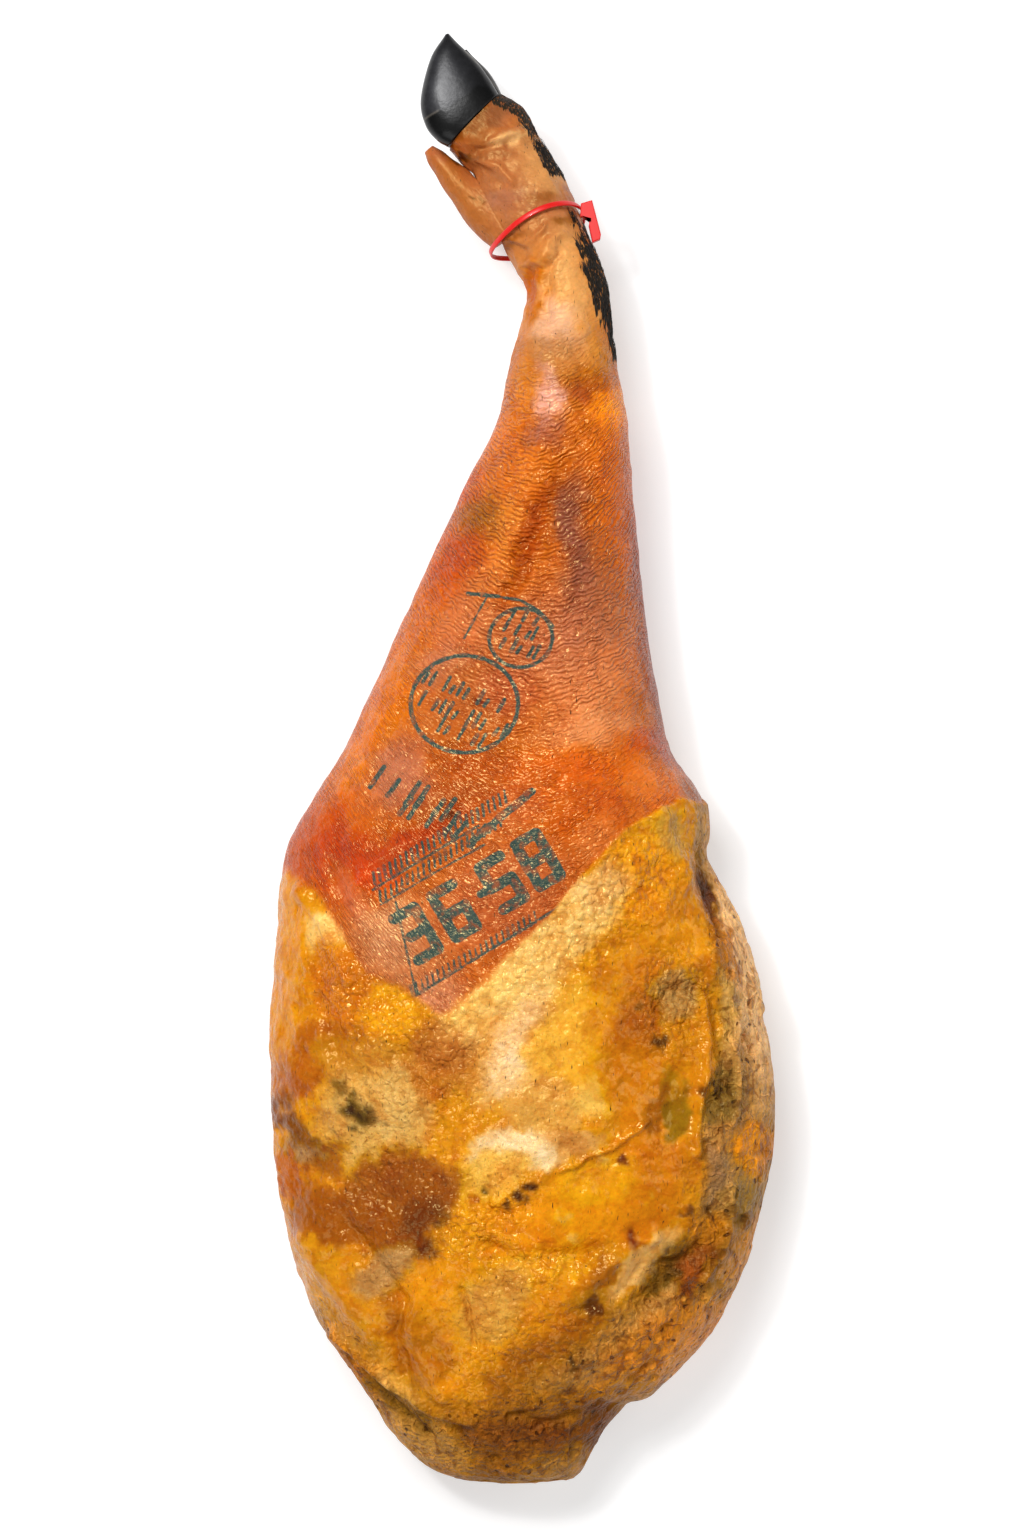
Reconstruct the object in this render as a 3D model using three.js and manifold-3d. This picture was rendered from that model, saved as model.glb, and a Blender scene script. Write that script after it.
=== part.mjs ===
import * as THREE from "three";
import { mergeVertices } from "three/addons/utils/BufferGeometryUtils.js";
import Module from "manifold-3d";

const wasm = await Module();
wasm.setup();

// A whole cured ham, lying on its flat inner face with the rind side up.
// Millimetres, +Z up. The hoof points to +Y and the rounded butt to -Y.

// Sections across a line that runs from the butt to the hair line above the hoof.
// x and y place the line, turn leans it to the left in degrees, left and right are
// the half widths, mid is the height of the widest level, rise and sink are the
// heights above and below it, and full is the power of the rounded outline.
const SECTION_FIELDS = ["x", "y", "turn", "left", "right", "mid", "rise", "sink", "full"];
const SECTIONS = [
  [-1.4, -390.4, 0, 28, 27, 33, 11, 12, 2.0],
  [-5.7, -384.2, 0, 43, 39, 33, 24, 24, 2.0],
  [-9.5, -362.3, 0, 63, 54, 34, 36, 33, 2.1],
  [-7.8, -350.5, 0, 72, 64, 34, 41, 37, 2.1],
  [-5.7, -342.4, 0, 79, 77, 34, 46, 39, 2.1],
  [-0.3, -304.6, 0, 110, 106, 35, 56, 44, 2.1],
  [3.0, -253.3, 0, 131, 124, 36, 62, 46, 2.1],
  [3.0, -183.1, 0, 141, 135, 37, 65, 47, 2.1],
  [3.0, -107.5, 0, 137, 120, 37, 66, 47, 2.1],
  [6.2, -50.8, 0, 135, 96, 37, 64, 47, 2.1],
  [10.6, -22, 0, 126, 88, 38, 62, 47, 2.1],
  [13.2, 6, 0, 111, 68, 38, 58, 46, 2.1],
  [18.1, 43.7, 0, 98, 54, 39, 53, 45, 2.1],
  [22.4, 81.5, 0, 85, 44, 40, 48, 43, 2.0],
  [27.8, 151.7, 0, 58, 32, 43, 37, 35, 2.0],
  [26.7, 178.7, 0, 43, 31, 44, 33, 30, 2.0],
  [23.5, 216.5, 3, 31, 27.5, 45, 29, 26, 2.0],
  [21.3, 254.3, 12, 22, 25, 45, 25, 24, 2.0],
  [13.8, 278.6, 22, 23, 22, 45, 24, 23, 2.0],
  [2.4, 302.9, 28, 24, 23, 44, 24, 23, 2.0],
  [-10.5, 324.5, 36, 19, 24, 44, 23, 22, 2.3],
  [-18.6, 334.2, 41, 19, 26, 44, 23, 22, 2.5],
  [-26.2, 342.9, 46, 19.5, 22.5, 44, 22, 22, 2.8],
];
const LEG_AROUND = 76;
const LEG_ALONG = 62;
const END_CROWDING = 0.45;

// Large lumps, hollows and folds of the upper side: their place, half lengths along
// and across the leg, turn in degrees and height.
const LUMP_FIELDS = ["x", "y", "along", "across", "turn", "height"];
const LUMPS = [
  [52, -45, 60, 26, 38, 4],
  [-70, -70, 60, 34, -30, 3],
  [10, -75, 60, 40, 0, 4],
  [20, -215, 80, 40, 0, 3],
  [26, -292, 34, 30, 0, 3],
  [-80, -225, 60, 30, 0, -2],
  [108, -120, 70, 9, 8, 3],
  [122, -165, 60, 9, 0, -3],
  [96, -75, 16, 8, 10, -5],
  [75, -278, 34, 7, 65, -4],
  [55, -347, 14, 12, 0, -4],
  [22, 120, 44, 9, -18, -3],
  [48, 165, 26, 14, 0, 3],
  [18, 190, 22, 12, 0, 2],
];

// The side claw, which is one with the leg: a tapering flap from the ankle to its tip.
const SIDE_CLAW_MID = 43;
const SIDE_CLAW_TURN = 41;
const SIDE_CLAW = [
  { x: -8, y: 283, half: 11, thick: 15 },
  { x: -21, y: 297, half: 12.5, thick: 13 },
  { x: -33, y: 309.6, half: 9.2, thick: 11 },
  { x: -40.8, y: 318.6, half: 7, thick: 9 },
  { x: -47.5, y: 326.2, half: 5.2, thick: 7 },
  { x: -51, y: 330.2, half: 2, thick: 3 },
];
const SIDE_CLAW_AROUND = 20;
const SIDE_CLAW_ALONG = 12;

// The two hoof claws: each is spanned between an outer and an inner edge that run from
// the hair line to the tip, and is oval in section. The hair line is the leg's last
// section, and a claw starts a gap beyond it.
const HAIR_LINE_GAP = 0.35;
const CLAW_HALF_WIDTH = 19.5;
const CLAW_OUTER = [[-45.8, 332.5], [-52, 340.5], [-54.6, 354.2], [-49.5, 375.8], [-41.5, 389]];
const CLAW_INNER = [[-18.5, 366.5], [-24.5, 374.5], [-30.5, 380.5], [-35, 384.8], [-39.5, 389.6]];
const CLAW_HALF_THICK = [10.6, 11, 10.6, 9.4, 6.8, 2.2];
const CLAW_AROUND = 28;
const CLAW_ALONG = 16;
const CLAWS = [
  { name: "hoof_claw_front", mid: 55.6, reach: 1, aside: 0 },
  { name: "hoof_claw_back", mid: 32.4, reach: 0.76, aside: 3.2 },
];

// The tag: a thin strap round the ankle, bowed to the hoof in front, and a flat head.
const STRAP = { place: 0.908, bow: 0.0115, gap: 1.8, slack: 5.5, wide: 3, thick: 1.3 };
const STRAP_AROUND = 72;
const HEAD_OUTLINE = [
  [30.8, 291.4], [31.2, 298.4], [37.2, 300.2], [42, 281.8], [41.6, 279.2], [37.4, 277.4], [35.4, 286.6], [36, 290],
];
const HEAD_LOW = 53.6;
const HEAD_THICK = 5;

const degrees = THREE.MathUtils.degToRad;

function rowOf(fields, values) {
  return Object.fromEntries(fields.map((field, i) => [field, values[i]]));
}

// A smooth value through the knots: cubic pieces with slopes from the neighbours.
function smoothValue(knots, values, s) {
  let i = 0;
  while (i < knots.length - 2 && s > knots[i + 1]) i += 1;
  const slope = (k) => {
    const a = Math.max(k - 1, 0);
    const b = Math.min(k + 1, knots.length - 1);
    return (values[b] - values[a]) / (knots[b] - knots[a]);
  };
  const span = knots[i + 1] - knots[i];
  const t = (s - knots[i]) / span;
  const start = values[i] * (2 * t ** 3 - 3 * t ** 2 + 1) + slope(i) * span * (t ** 3 - 2 * t ** 2 + t);
  const end = values[i + 1] * (3 * t ** 2 - 2 * t ** 3) + slope(i + 1) * span * (t ** 3 - t ** 2);
  return start + end;
}

// A curve through rows of named values, as a function of the share of its length.
function rowCurve(rows) {
  const knots = [0];
  for (let i = 1; i < rows.length; i += 1) {
    knots.push(knots[i - 1] + Math.hypot(rows[i].x - rows[i - 1].x, rows[i].y - rows[i - 1].y));
  }
  const length = knots[knots.length - 1];
  const columns = Object.keys(rows[0]).map((field) => [field, rows.map((row) => row[field])]);
  return (share) => {
    const s = share * length;
    return Object.fromEntries(columns.map(([field, values]) => [field, smoothValue(knots, values, s)]));
  };
}

const legRow = rowCurve(SECTIONS.map((values) => rowOf(SECTION_FIELDS, values)));
const lumps = LUMPS.map((values) => rowOf(LUMP_FIELDS, values));

// The height of all lumps at a place of the upper side.
function relief(x, y) {
  let height = 0;
  for (const lump of lumps) {
    const lean = degrees(lump.turn);
    const dx = x - lump.x;
    const dy = y - lump.y;
    const along = (dy * Math.cos(lean) - dx * Math.sin(lean)) / lump.along;
    const across = (dx * Math.cos(lean) + dy * Math.sin(lean)) / lump.across;
    height += lump.height * Math.exp(-(along ** 2) - across ** 2);
  }
  return height;
}

function signedPower(value, power) {
  return Math.sign(value) * Math.abs(value) ** power;
}

// A point of a rounded section, or of one that lies further out by a given amount.
function sectionPoint(row, angle, outward = 0) {
  const c = signedPower(Math.cos(angle), 2 / row.full);
  const s = signedPower(Math.sin(angle), 2 / row.full);
  const across = c * ((c > 0 ? row.right : row.left) + outward);
  const up = s * ((s > 0 ? row.rise : row.sink) + outward);
  const lean = degrees(row.turn);
  return new THREE.Vector3(row.x + across * Math.cos(lean), row.y + across * Math.sin(lean), row.mid + up);
}

// The same with the lumps on its upper half, pressed flat where it lies on the floor.
function legPoint(row, angle) {
  const point = sectionPoint(row, angle);
  const height = relief(point.x, point.y) * Math.sqrt(Math.max(Math.sin(angle), 0));
  point.x += height * Math.cos(angle);
  point.z = Math.max(point.z + height * Math.sin(angle), 0);
  return point;
}

function geometryOf(positions, faces) {
  const geometry = new THREE.BufferGeometry();
  geometry.setAttribute("position", new THREE.Float32BufferAttribute(positions, 3));
  geometry.setIndex(faces);
  return geometry;
}

// The faces between neighbouring rings of points, each ring joined to the next.
function ringFaces(ringCount, around, looped) {
  const faces = [];
  const last = looped ? ringCount : ringCount - 1;
  for (let i = 0; i < last; i += 1) {
    const here = i * around;
    const next = ((i + 1) % ringCount) * around;
    for (let j = 0; j < around; j += 1) {
      const k = (j + 1) % around;
      faces.push(here + j, next + j, here + k, here + k, next + j, next + k);
    }
  }
  return faces;
}

// A closed solid through rings of points: a fan closes each end.
function cappedRings(rings) {
  const around = rings[0].length;
  const positions = rings.flat().flatMap((p) => [p.x, p.y, p.z]);
  const faces = ringFaces(rings.length, around, false);
  const fan = (ring, first, flip) => {
    const centre = ring.reduce((sum, p) => sum.add(p), new THREE.Vector3()).divideScalar(around);
    const middle = positions.length / 3;
    positions.push(centre.x, centre.y, centre.z);
    for (let j = 0; j < around; j += 1) {
      const a = first + j;
      const b = first + ((j + 1) % around);
      faces.push(middle, flip ? a : b, flip ? b : a);
    }
  };
  fan(rings[0], 0, true);
  fan(rings[rings.length - 1], (rings.length - 1) * around, false);
  return geometryOf(positions, faces);
}

function ringOf(count, pointAt) {
  return Array.from({ length: count }, (_, j) => pointAt((2 * Math.PI * j) / count));
}

function solidOf(geometry) {
  const bare = geometry.clone();
  bare.deleteAttribute("normal");
  bare.deleteAttribute("uv");
  const merged = mergeVertices(bare, 1e-4);
  const vertProperties = new Float32Array(merged.attributes.position.array);
  const triVerts = new Uint32Array(merged.index.array);
  return new wasm.Manifold(new wasm.Mesh({ numProp: 3, vertProperties, triVerts }));
}

function joined(first, second) {
  const mesh = solidOf(first).add(solidOf(second)).getMesh();
  return geometryOf(Array.from(mesh.vertProperties), Array.from(mesh.triVerts));
}

// The leg's rings crowd towards both ends, where its outline turns fast.
function legGeometry() {
  const rings = [];
  for (let i = 0; i <= LEG_ALONG; i += 1) {
    const even = i / LEG_ALONG;
    const row = legRow(even - (END_CROWDING * Math.sin(2 * Math.PI * even)) / (2 * Math.PI));
    rings.push(ringOf(LEG_AROUND, (angle) => legPoint(row, angle)));
  }
  return cappedRings(rings);
}

function sideClawGeometry() {
  const rowAt = rowCurve(SIDE_CLAW);
  const rings = [];
  for (let i = 0; i <= SIDE_CLAW_ALONG; i += 1) {
    const { x, y, half, thick } = rowAt(i / SIDE_CLAW_ALONG);
    const place = { x, y, turn: SIDE_CLAW_TURN, mid: SIDE_CLAW_MID, full: 2 };
    const oval = { ...place, left: half, right: half, rise: thick, sink: thick };
    rings.push(ringOf(SIDE_CLAW_AROUND, (angle) => sectionPoint(oval, angle)));
  }
  return cappedRings(rings);
}

// One claw between its two edges: reach shortens it and aside moves it along the hair line.
function clawGeometry({ mid, reach, aside }) {
  const end = legRow(1);
  const lean = degrees(end.turn);
  const ahead = new THREE.Vector3(-Math.sin(lean), Math.cos(lean), 0);
  const across = new THREE.Vector3(Math.cos(lean), Math.sin(lean), 0);
  const start = new THREE.Vector3(end.x, end.y, mid).addScaledVector(ahead, HAIR_LINE_GAP);
  const edge = (base, list) => {
    const points = [base, ...list.map(([x, y]) => new THREE.Vector3(x, y, mid))];
    return points.map((p) => {
      const far = p.clone().sub(start).dot(ahead);
      return p.clone().addScaledVector(ahead, far * (reach - 1)).addScaledVector(across, aside);
    });
  };
  const outer = edge(start.clone().addScaledVector(across, -CLAW_HALF_WIDTH), CLAW_OUTER);
  const inner = edge(start.clone().addScaledVector(across, CLAW_HALF_WIDTH), CLAW_INNER);
  const knots = CLAW_HALF_THICK.map((_, i) => i / (CLAW_HALF_THICK.length - 1));
  const through = (points, t) => new THREE.Vector3(
    smoothValue(knots, points.map((p) => p.x), t),
    smoothValue(knots, points.map((p) => p.y), t),
    mid,
  );
  const rings = [];
  for (let i = 0; i <= CLAW_ALONG; i += 1) {
    const t = i / CLAW_ALONG;
    const thick = smoothValue(knots, CLAW_HALF_THICK, t);
    rings.push(ringOf(CLAW_AROUND, (angle) => {
      const share = 0.5 + 0.5 * signedPower(Math.cos(angle), 0.85);
      const point = through(outer, t).lerp(through(inner, t), share);
      point.z += thick * signedPower(Math.sin(angle), 0.85);
      return point;
    }));
  }
  return cappedRings(rings);
}

// The strap follows the leg's own sections, with slack at the side claw's root.
function strapGeometry() {
  const centre = (angle) => {
    const slack = STRAP.slack * Math.exp(-(((angle - Math.PI) / 0.55) ** 2));
    return sectionPoint(legRow(STRAP.place + STRAP.bow * Math.sin(angle)), angle, STRAP.gap + slack);
  };
  const core = centre(0).add(centre(Math.PI)).multiplyScalar(0.5);
  const rings = ringOf(STRAP_AROUND, (angle) => {
    const here = centre(angle);
    const ahead = centre(angle + 0.02).sub(centre(angle - 0.02)).normalize();
    const out = here.clone().sub(core);
    out.addScaledVector(ahead, -out.dot(ahead)).normalize();
    const side = new THREE.Vector3().crossVectors(out, ahead);
    return ringOf(8, (turn) => here.clone()
      .addScaledVector(out, 0.5 * STRAP.thick * signedPower(Math.cos(turn), 0.6))
      .addScaledVector(side, 0.5 * STRAP.wide * signedPower(Math.sin(turn), 0.6)));
  });
  return geometryOf(rings.flat().flatMap((p) => [p.x, p.y, p.z]), ringFaces(rings.length, 8, true));
}

function headGeometry() {
  const outline = new THREE.Shape(HEAD_OUTLINE.map(([x, y]) => new THREE.Vector2(x, y)));
  const bevel = { bevelEnabled: true, bevelSize: 0.6, bevelThickness: 0.6, bevelOffset: -0.6, bevelSegments: 1 };
  const head = new THREE.ExtrudeGeometry(outline, { depth: HEAD_THICK, ...bevel });
  return head.translate(0, 0, HEAD_LOW);
}

function piece(name, geometry, color, roughness) {
  const material = new THREE.MeshStandardMaterial({ color, roughness, metalness: 0 });
  const mesh = new THREE.Mesh(geometry, material);
  mesh.name = name;
  return mesh;
}

const ham = new THREE.Group();
ham.add(piece("ham", joined(legGeometry(), sideClawGeometry()), "#c07f3c", 0.5));
for (const claw of CLAWS) {
  ham.add(piece(claw.name, clawGeometry(claw), "#1c1a19", 0.4));
}
ham.add(piece("seal", joined(strapGeometry(), headGeometry()), "#d8332b", 0.35));

export default ham;
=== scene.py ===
"""The looks of a whole cured ham that lies on its flat inner side, rind up.

Lengths below are millimetres in the frame's own axes, and go into a mesh as metres.
The leg is one surface of two parameters: the share of the way from the butt to the
hoof, and the angle round the section. It is cut into six closed lengths.
"""

import math

import bpy
import mathutils
import numpy as np
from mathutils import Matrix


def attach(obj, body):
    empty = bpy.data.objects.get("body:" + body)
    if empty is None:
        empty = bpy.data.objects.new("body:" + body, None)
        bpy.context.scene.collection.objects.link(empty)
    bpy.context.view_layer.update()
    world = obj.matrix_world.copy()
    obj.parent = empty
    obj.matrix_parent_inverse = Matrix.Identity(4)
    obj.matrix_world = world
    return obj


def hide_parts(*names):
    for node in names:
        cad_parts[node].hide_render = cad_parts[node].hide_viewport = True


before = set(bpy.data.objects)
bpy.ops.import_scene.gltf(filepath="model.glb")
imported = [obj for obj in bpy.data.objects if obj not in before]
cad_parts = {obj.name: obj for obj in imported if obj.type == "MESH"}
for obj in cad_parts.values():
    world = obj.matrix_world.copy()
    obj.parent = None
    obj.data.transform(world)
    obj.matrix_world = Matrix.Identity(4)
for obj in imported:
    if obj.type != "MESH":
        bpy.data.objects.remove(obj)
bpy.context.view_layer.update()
MM = 0.001

# Sections of the leg, as in the part: x, y, turn, left, right, mid, rise, sink, full.
SECTIONS = np.array([
    [-1.4, -390.4, 0, 28, 27, 33, 11, 12, 2.0],
    [-5.7, -384.2, 0, 43, 39, 33, 24, 24, 2.0],
    [-9.5, -362.3, 0, 63, 54, 34, 36, 33, 2.1],
    [-7.8, -350.5, 0, 72, 64, 34, 41, 37, 2.1],
    [-5.7, -342.4, 0, 79, 77, 34, 46, 39, 2.1],
    [-0.3, -304.6, 0, 110, 106, 35, 56, 44, 2.1],
    [3.0, -253.3, 0, 131, 124, 36, 62, 46, 2.1],
    [3.0, -183.1, 0, 141, 135, 37, 65, 47, 2.1],
    [3.0, -107.5, 0, 137, 120, 37, 66, 47, 2.1],
    [6.2, -50.8, 0, 135, 96, 37, 64, 47, 2.1],
    [10.6, -22, 0, 126, 88, 38, 62, 47, 2.1],
    [13.2, 6, 0, 111, 68, 38, 58, 46, 2.1],
    [18.1, 43.7, 0, 98, 54, 39, 53, 45, 2.1],
    [22.4, 81.5, 0, 85, 44, 40, 48, 43, 2.0],
    [27.8, 151.7, 0, 58, 32, 43, 37, 35, 2.0],
    [26.7, 178.7, 0, 43, 31, 44, 33, 30, 2.0],
    [23.5, 216.5, 3, 31, 27.5, 45, 29, 26, 2.0],
    [21.3, 254.3, 12, 22, 25, 45, 25, 24, 2.0],
    [13.8, 278.6, 22, 23, 22, 45, 24, 23, 2.0],
    [2.4, 302.9, 28, 24, 23, 44, 24, 23, 2.0],
    [-10.5, 324.5, 36, 19, 24, 44, 23, 22, 2.3],
    [-18.6, 334.2, 41, 19, 26, 44, 23, 22, 2.5],
    [-26.2, 342.9, 46, 19.5, 22.5, 44, 22, 22, 2.8],
])

# Large lumps and hollows, as in the part: x, y, half length, half width, turn, height.
LUMPS = [
    (52, -45, 60, 26, 38, 4), (-70, -70, 60, 34, -30, 3), (10, -75, 60, 40, 0, 4),
    (20, -215, 80, 40, 0, 3), (26, -292, 34, 30, 0, 3), (-80, -225, 60, 30, 0, -2),
    (108, -120, 70, 9, 8, 3), (122, -165, 60, 9, 0, -3), (96, -75, 16, 8, 10, -5),
    (75, -278, 34, 7, 65, -4), (55, -347, 14, 12, 0, -4), (22, 120, 44, 9, -18, -3),
    (48, 165, 26, 14, 0, 3), (18, 190, 22, 12, 0, 2),
]

# The side claw, as in the part but blunter at its tip: x, y, half width, half thickness.
SIDE_CLAW = np.array([
    [-8, 283, 11, 15], [-21, 297, 12.5, 13], [-33, 309.6, 9.2, 11],
    [-40.8, 318.6, 7, 9], [-47.5, 326.2, 5.6, 7.4], [-50.6, 329.8, 3.6, 4.6],
])
SIDE_CLAW_MID = 43
SIDE_CLAW_TURN = 41

# The hoof claws, as in the part: their two edges and half thickness, hair line to tip.
CLAW_OUTER = np.array([[-45.8, 332.5], [-52, 340.5], [-54.6, 354.2], [-49.5, 375.8], [-41.5, 389]])
CLAW_INNER = np.array([[-18.5, 366.5], [-24.5, 374.5], [-30.5, 380.5], [-35, 384.8], [-39.5, 389.6]])
CLAW_HALF_THICK = np.array([10.6, 11, 10.6, 9.4, 6.8, 2.2])
CLAW_HALF_WIDTH = 19.5
CLAW_GAP, CLAW_ROUND = 0.35, 0.85
# Each claw's middle height, its share of the full length, and its way to the right.
CLAWS = {"hoof_claw_front": (55.6, 1.0, 0.0), "hoof_claw_back": (32.4, 0.76, 3.2)}

# The seal, as in the part. The strap stands off most at half a turn, beside the side claw.
STRAP_PLACE, STRAP_BOW, STRAP_GAP = 0.908, 0.0115, 1.8
STRAP_SLACK, SLACK_WIDTH = 5.5, 0.55
STRAP_WIDE, STRAP_THICK, STRAP_ROUND = 3.0, 1.3, 0.6
STRAP_SIDES, STRAP_AROUND, ANGLE_STEP = 16, 240, 0.02
HEAD_OUTLINE = [
    (30.8, 291.4), (31.2, 298.4), (37.2, 300.2), (42, 281.8),
    (41.6, 279.2), (37.4, 277.4), (35.4, 286.6), (36, 290),
]
HEAD_LOW, HEAD_THICK = 53.6, 5.0
# The rounding of the head's edges: how far in, and how far beyond the flat.
HEAD_BEVEL = [(0.6, 0.6), (0.18, 0.42), (0, 0)]


def srgb(code):
    """An sRGB hex value as three numbers from 0 to 1."""
    return np.array([int(code[i:i + 2], 16) / 255 for i in (1, 3, 5)])


def to_linear(colour):
    """sRGB numbers turned to linear light."""
    colour = np.asarray(colour, float)
    return np.where(colour <= 0.04045, colour / 12.92, ((colour + 0.055) / 1.055) ** 2.4)


def lin(code):
    """An sRGB hex value as a linear RGBA colour."""
    return (*to_linear(srgb(code)).tolist(), 1.0)


def smooth_through(knots, values, s):
    """A cubic through the knots, its slopes taken from the neighbours on each side."""
    i = np.clip(np.searchsorted(knots, s, side="right") - 1, 0, len(knots) - 2)
    here = np.arange(len(knots))
    before, after = np.maximum(here - 1, 0), np.minimum(here + 1, len(knots) - 1)
    gap = (knots[after] - knots[before]).reshape((-1,) + (1,) * (values.ndim - 1))
    slopes = (values[after] - values[before]) / gap
    shape = np.shape(s) + (1,) * (values.ndim - 1)
    span = (knots[i + 1] - knots[i]).reshape(shape)
    t = ((s - knots[i]) / (knots[i + 1] - knots[i])).reshape(shape)
    start = values[i] * (2 * t**3 - 3 * t**2 + 1) + slopes[i] * span * (t**3 - 2 * t**2 + t)
    end = values[i + 1] * (3 * t**2 - 2 * t**3) + slopes[i + 1] * span * (t**3 - t**2)
    return start + end


def along_knots(points):
    """The distance from the first point to each point, along their polyline."""
    return np.concatenate([[0], np.cumsum(np.hypot(*np.diff(points, axis=0).T))])


LEG_KNOTS = along_knots(SECTIONS[:, :2])


def leg_rows(share):
    """The section's values at each share of the leg's length."""
    return smooth_through(LEG_KNOTS, SECTIONS, np.asarray(share, float) * LEG_KNOTS[-1])


def signed_power(value, power):
    """A power of the value's size, with the value's own sign."""
    return np.sign(value) * np.abs(value) ** power


def section_points(rows, angle, outward=0.0):
    """Points of rounded sections: across = half width cos^(2/full), up = height sin^(2/full)."""
    x, y, turn, left, right, mid, rise, sink, full = np.moveaxis(rows, -1, 0)
    c = signed_power(np.cos(angle), 2 / full)
    s = signed_power(np.sin(angle), 2 / full)
    across = c * (np.where(c > 0, right, left) + outward)
    up = s * (np.where(s > 0, rise, sink) + outward)
    lean = np.radians(turn)
    return np.stack([x + across * np.cos(lean), y + across * np.sin(lean), mid + up], -1)


def hashed(cells, seed):
    """A number from 0 to 1 for each whole-number cell, the same on every run."""
    mixed = cells[..., 0] * 73856093 ^ cells[..., 1] * 19349663 ^ cells[..., 2] * 83492791
    mixed = (mixed ^ seed * 2654435761) & 0xFFFFFFFF
    mixed = (mixed ^ (mixed >> 15)) * 2246822519 & 0xFFFFFFFF
    mixed = (mixed ^ (mixed >> 13)) * 3266489917 & 0xFFFFFFFF
    return ((mixed ^ (mixed >> 16)) & 0xFFFFFF) / 0xFFFFFF


def noise(points, size, seed):
    """Smooth noise from -1 to 1: random values on a lattice of the given size, blended."""
    place = points / size + 1000
    cell = np.floor(place).astype(np.int64)
    t = place - cell
    t = t * t * t * (t * (6 * t - 15) + 10)
    total = 0
    for corner in np.ndindex(2, 2, 2):
        corner = np.array(corner)
        weight = np.prod(np.where(corner == 1, t, 1 - t), axis=-1)
        total = total + weight * hashed(cell + corner, seed)
    return 2 * total - 1


def rough_noise(points, size, seed):
    """Noise in three layers, each half as large and half as strong as the one before."""
    layers = [noise(points, size / 2**k, seed + k) / 2**k for k in range(3)]
    return sum(layers) / 1.5


def smooth_step(value, low, high):
    """0 at the low value and 1 at the high one, with a soft start and end between them."""
    t = np.clip((value - low) / (high - low), 0, 1)
    return t * t * (3 - 2 * t)


def eased(values, start, limit):
    """Values beyond the start, on either side of zero, are pressed in below the limit."""
    room = limit - start
    over = np.maximum(np.abs(values) - start, 0)
    return np.sign(values) * (np.minimum(np.abs(values), start) + room * np.tanh(over / room))


def to_line(x, y, line):
    """The distance from each place to a polyline."""
    best = np.full(np.shape(x), 1e9)
    for (ax, ay), (bx, by) in zip(line[:-1], line[1:]):
        dx, dy = bx - ax, by - ay
        t = np.clip(((x - ax) * dx + (y - ay) * dy) / (dx * dx + dy * dy), 0, 1)
        best = np.minimum(best, np.hypot(x - ax - t * dx, y - ay - t * dy))
    return best


def inside(x, y, outline):
    """The distance to a closed outline, positive inside it and negative outside."""
    odd = np.zeros(np.shape(x), bool)
    closed = list(outline) + [outline[0]]
    for (ax, ay), (bx, by) in zip(closed[:-1], closed[1:]):
        crosses = (ay > y) != (by > y)
        odd ^= crosses & (x < ax + (y - ay) * (bx - ax) / ((by - ay) or 1e-9))
    return np.where(odd, 1, -1) * to_line(x, y, closed)


def offsets(x, y, cx, cy, turn):
    """How far each place lies across and ahead of a centre, on axes turned by some degrees."""
    lean = math.radians(turn)
    dx, dy = x - cx, y - cy
    return dx * math.cos(lean) + dy * math.sin(lean), dy * math.cos(lean) - dx * math.sin(lean)


def blob(x, y, cx, cy, half_x, half_y, turn, edge):
    """A soft oval, 1 inside and 0 outside, with half its strength on the oval itself."""
    across, ahead = offsets(x, y, cx, cy, turn)
    reach = np.hypot(across / half_x, ahead / half_y)
    return 1 / (1 + np.exp(np.clip(edge * (reach - 1), -30, 30)))


def whole_turn(count):
    """Angles in even steps round a whole turn."""
    return np.linspace(0, 2 * np.pi, count, endpoint=False)


def unit(rows):
    """Vectors scaled to a length of 1."""
    return rows / np.linalg.norm(rows, axis=-1, keepdims=True)


# Where the rind is cut off in a V, from the left edge to the right one.
RIND_EDGE = [
    (-129, -58), (-118, -66), (-109, -71), (-100, -83), (-91, -100), (-83, -114), (-66, -118),
    (-56, -126), (-43, -134), (-24, -120), (-8, -103), (12, -83), (26, -65), (41, -49), (53, -36),
    (83, -19), (97, -22),
]
# The rough lean face and trimmed meat, round the right side and the butt.
LEAN_FACE = [
    (120, -16), (95, -21), (90, -37), (90, -64), (98, -91), (102, -121), (100, -151), (92, -194),
    (95, -221), (84, -253), (66, -276), (45, -301), (20, -319), (-12, -341), (-45, -347),
    (-70, -327), (-93, -306), (-110, -286), (-120, -307), (-77, -399), (63, -399), (150, -307),
    (166, -156), (150, -48),
]
# Black bristles left on the shank, the pastern and the hair line.
SHANK_HAIR = [
    (26, 294), (31, 289), (36, 279), (42, 269), (47, 258), (54, 249), (56, 217), (49, 215),
    (45, 227), (40, 238), (36, 248), (33, 259), (33, 268), (29, 278),
]
PASTERN_HAIR = [
    (6, 333), (11, 331), (14, 329), (19, 329), (26, 315), (20, 312), (15, 314), (11, 319),
    (8, 326),
]
HAIR_LINE_HAIR = [
    (-13, 361), (-6, 361), (5, 355), (6, 345), (9, 338), (6, 334), (1, 338), (-4, 345), (-11, 349),
    (-18, 353),
]

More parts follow.
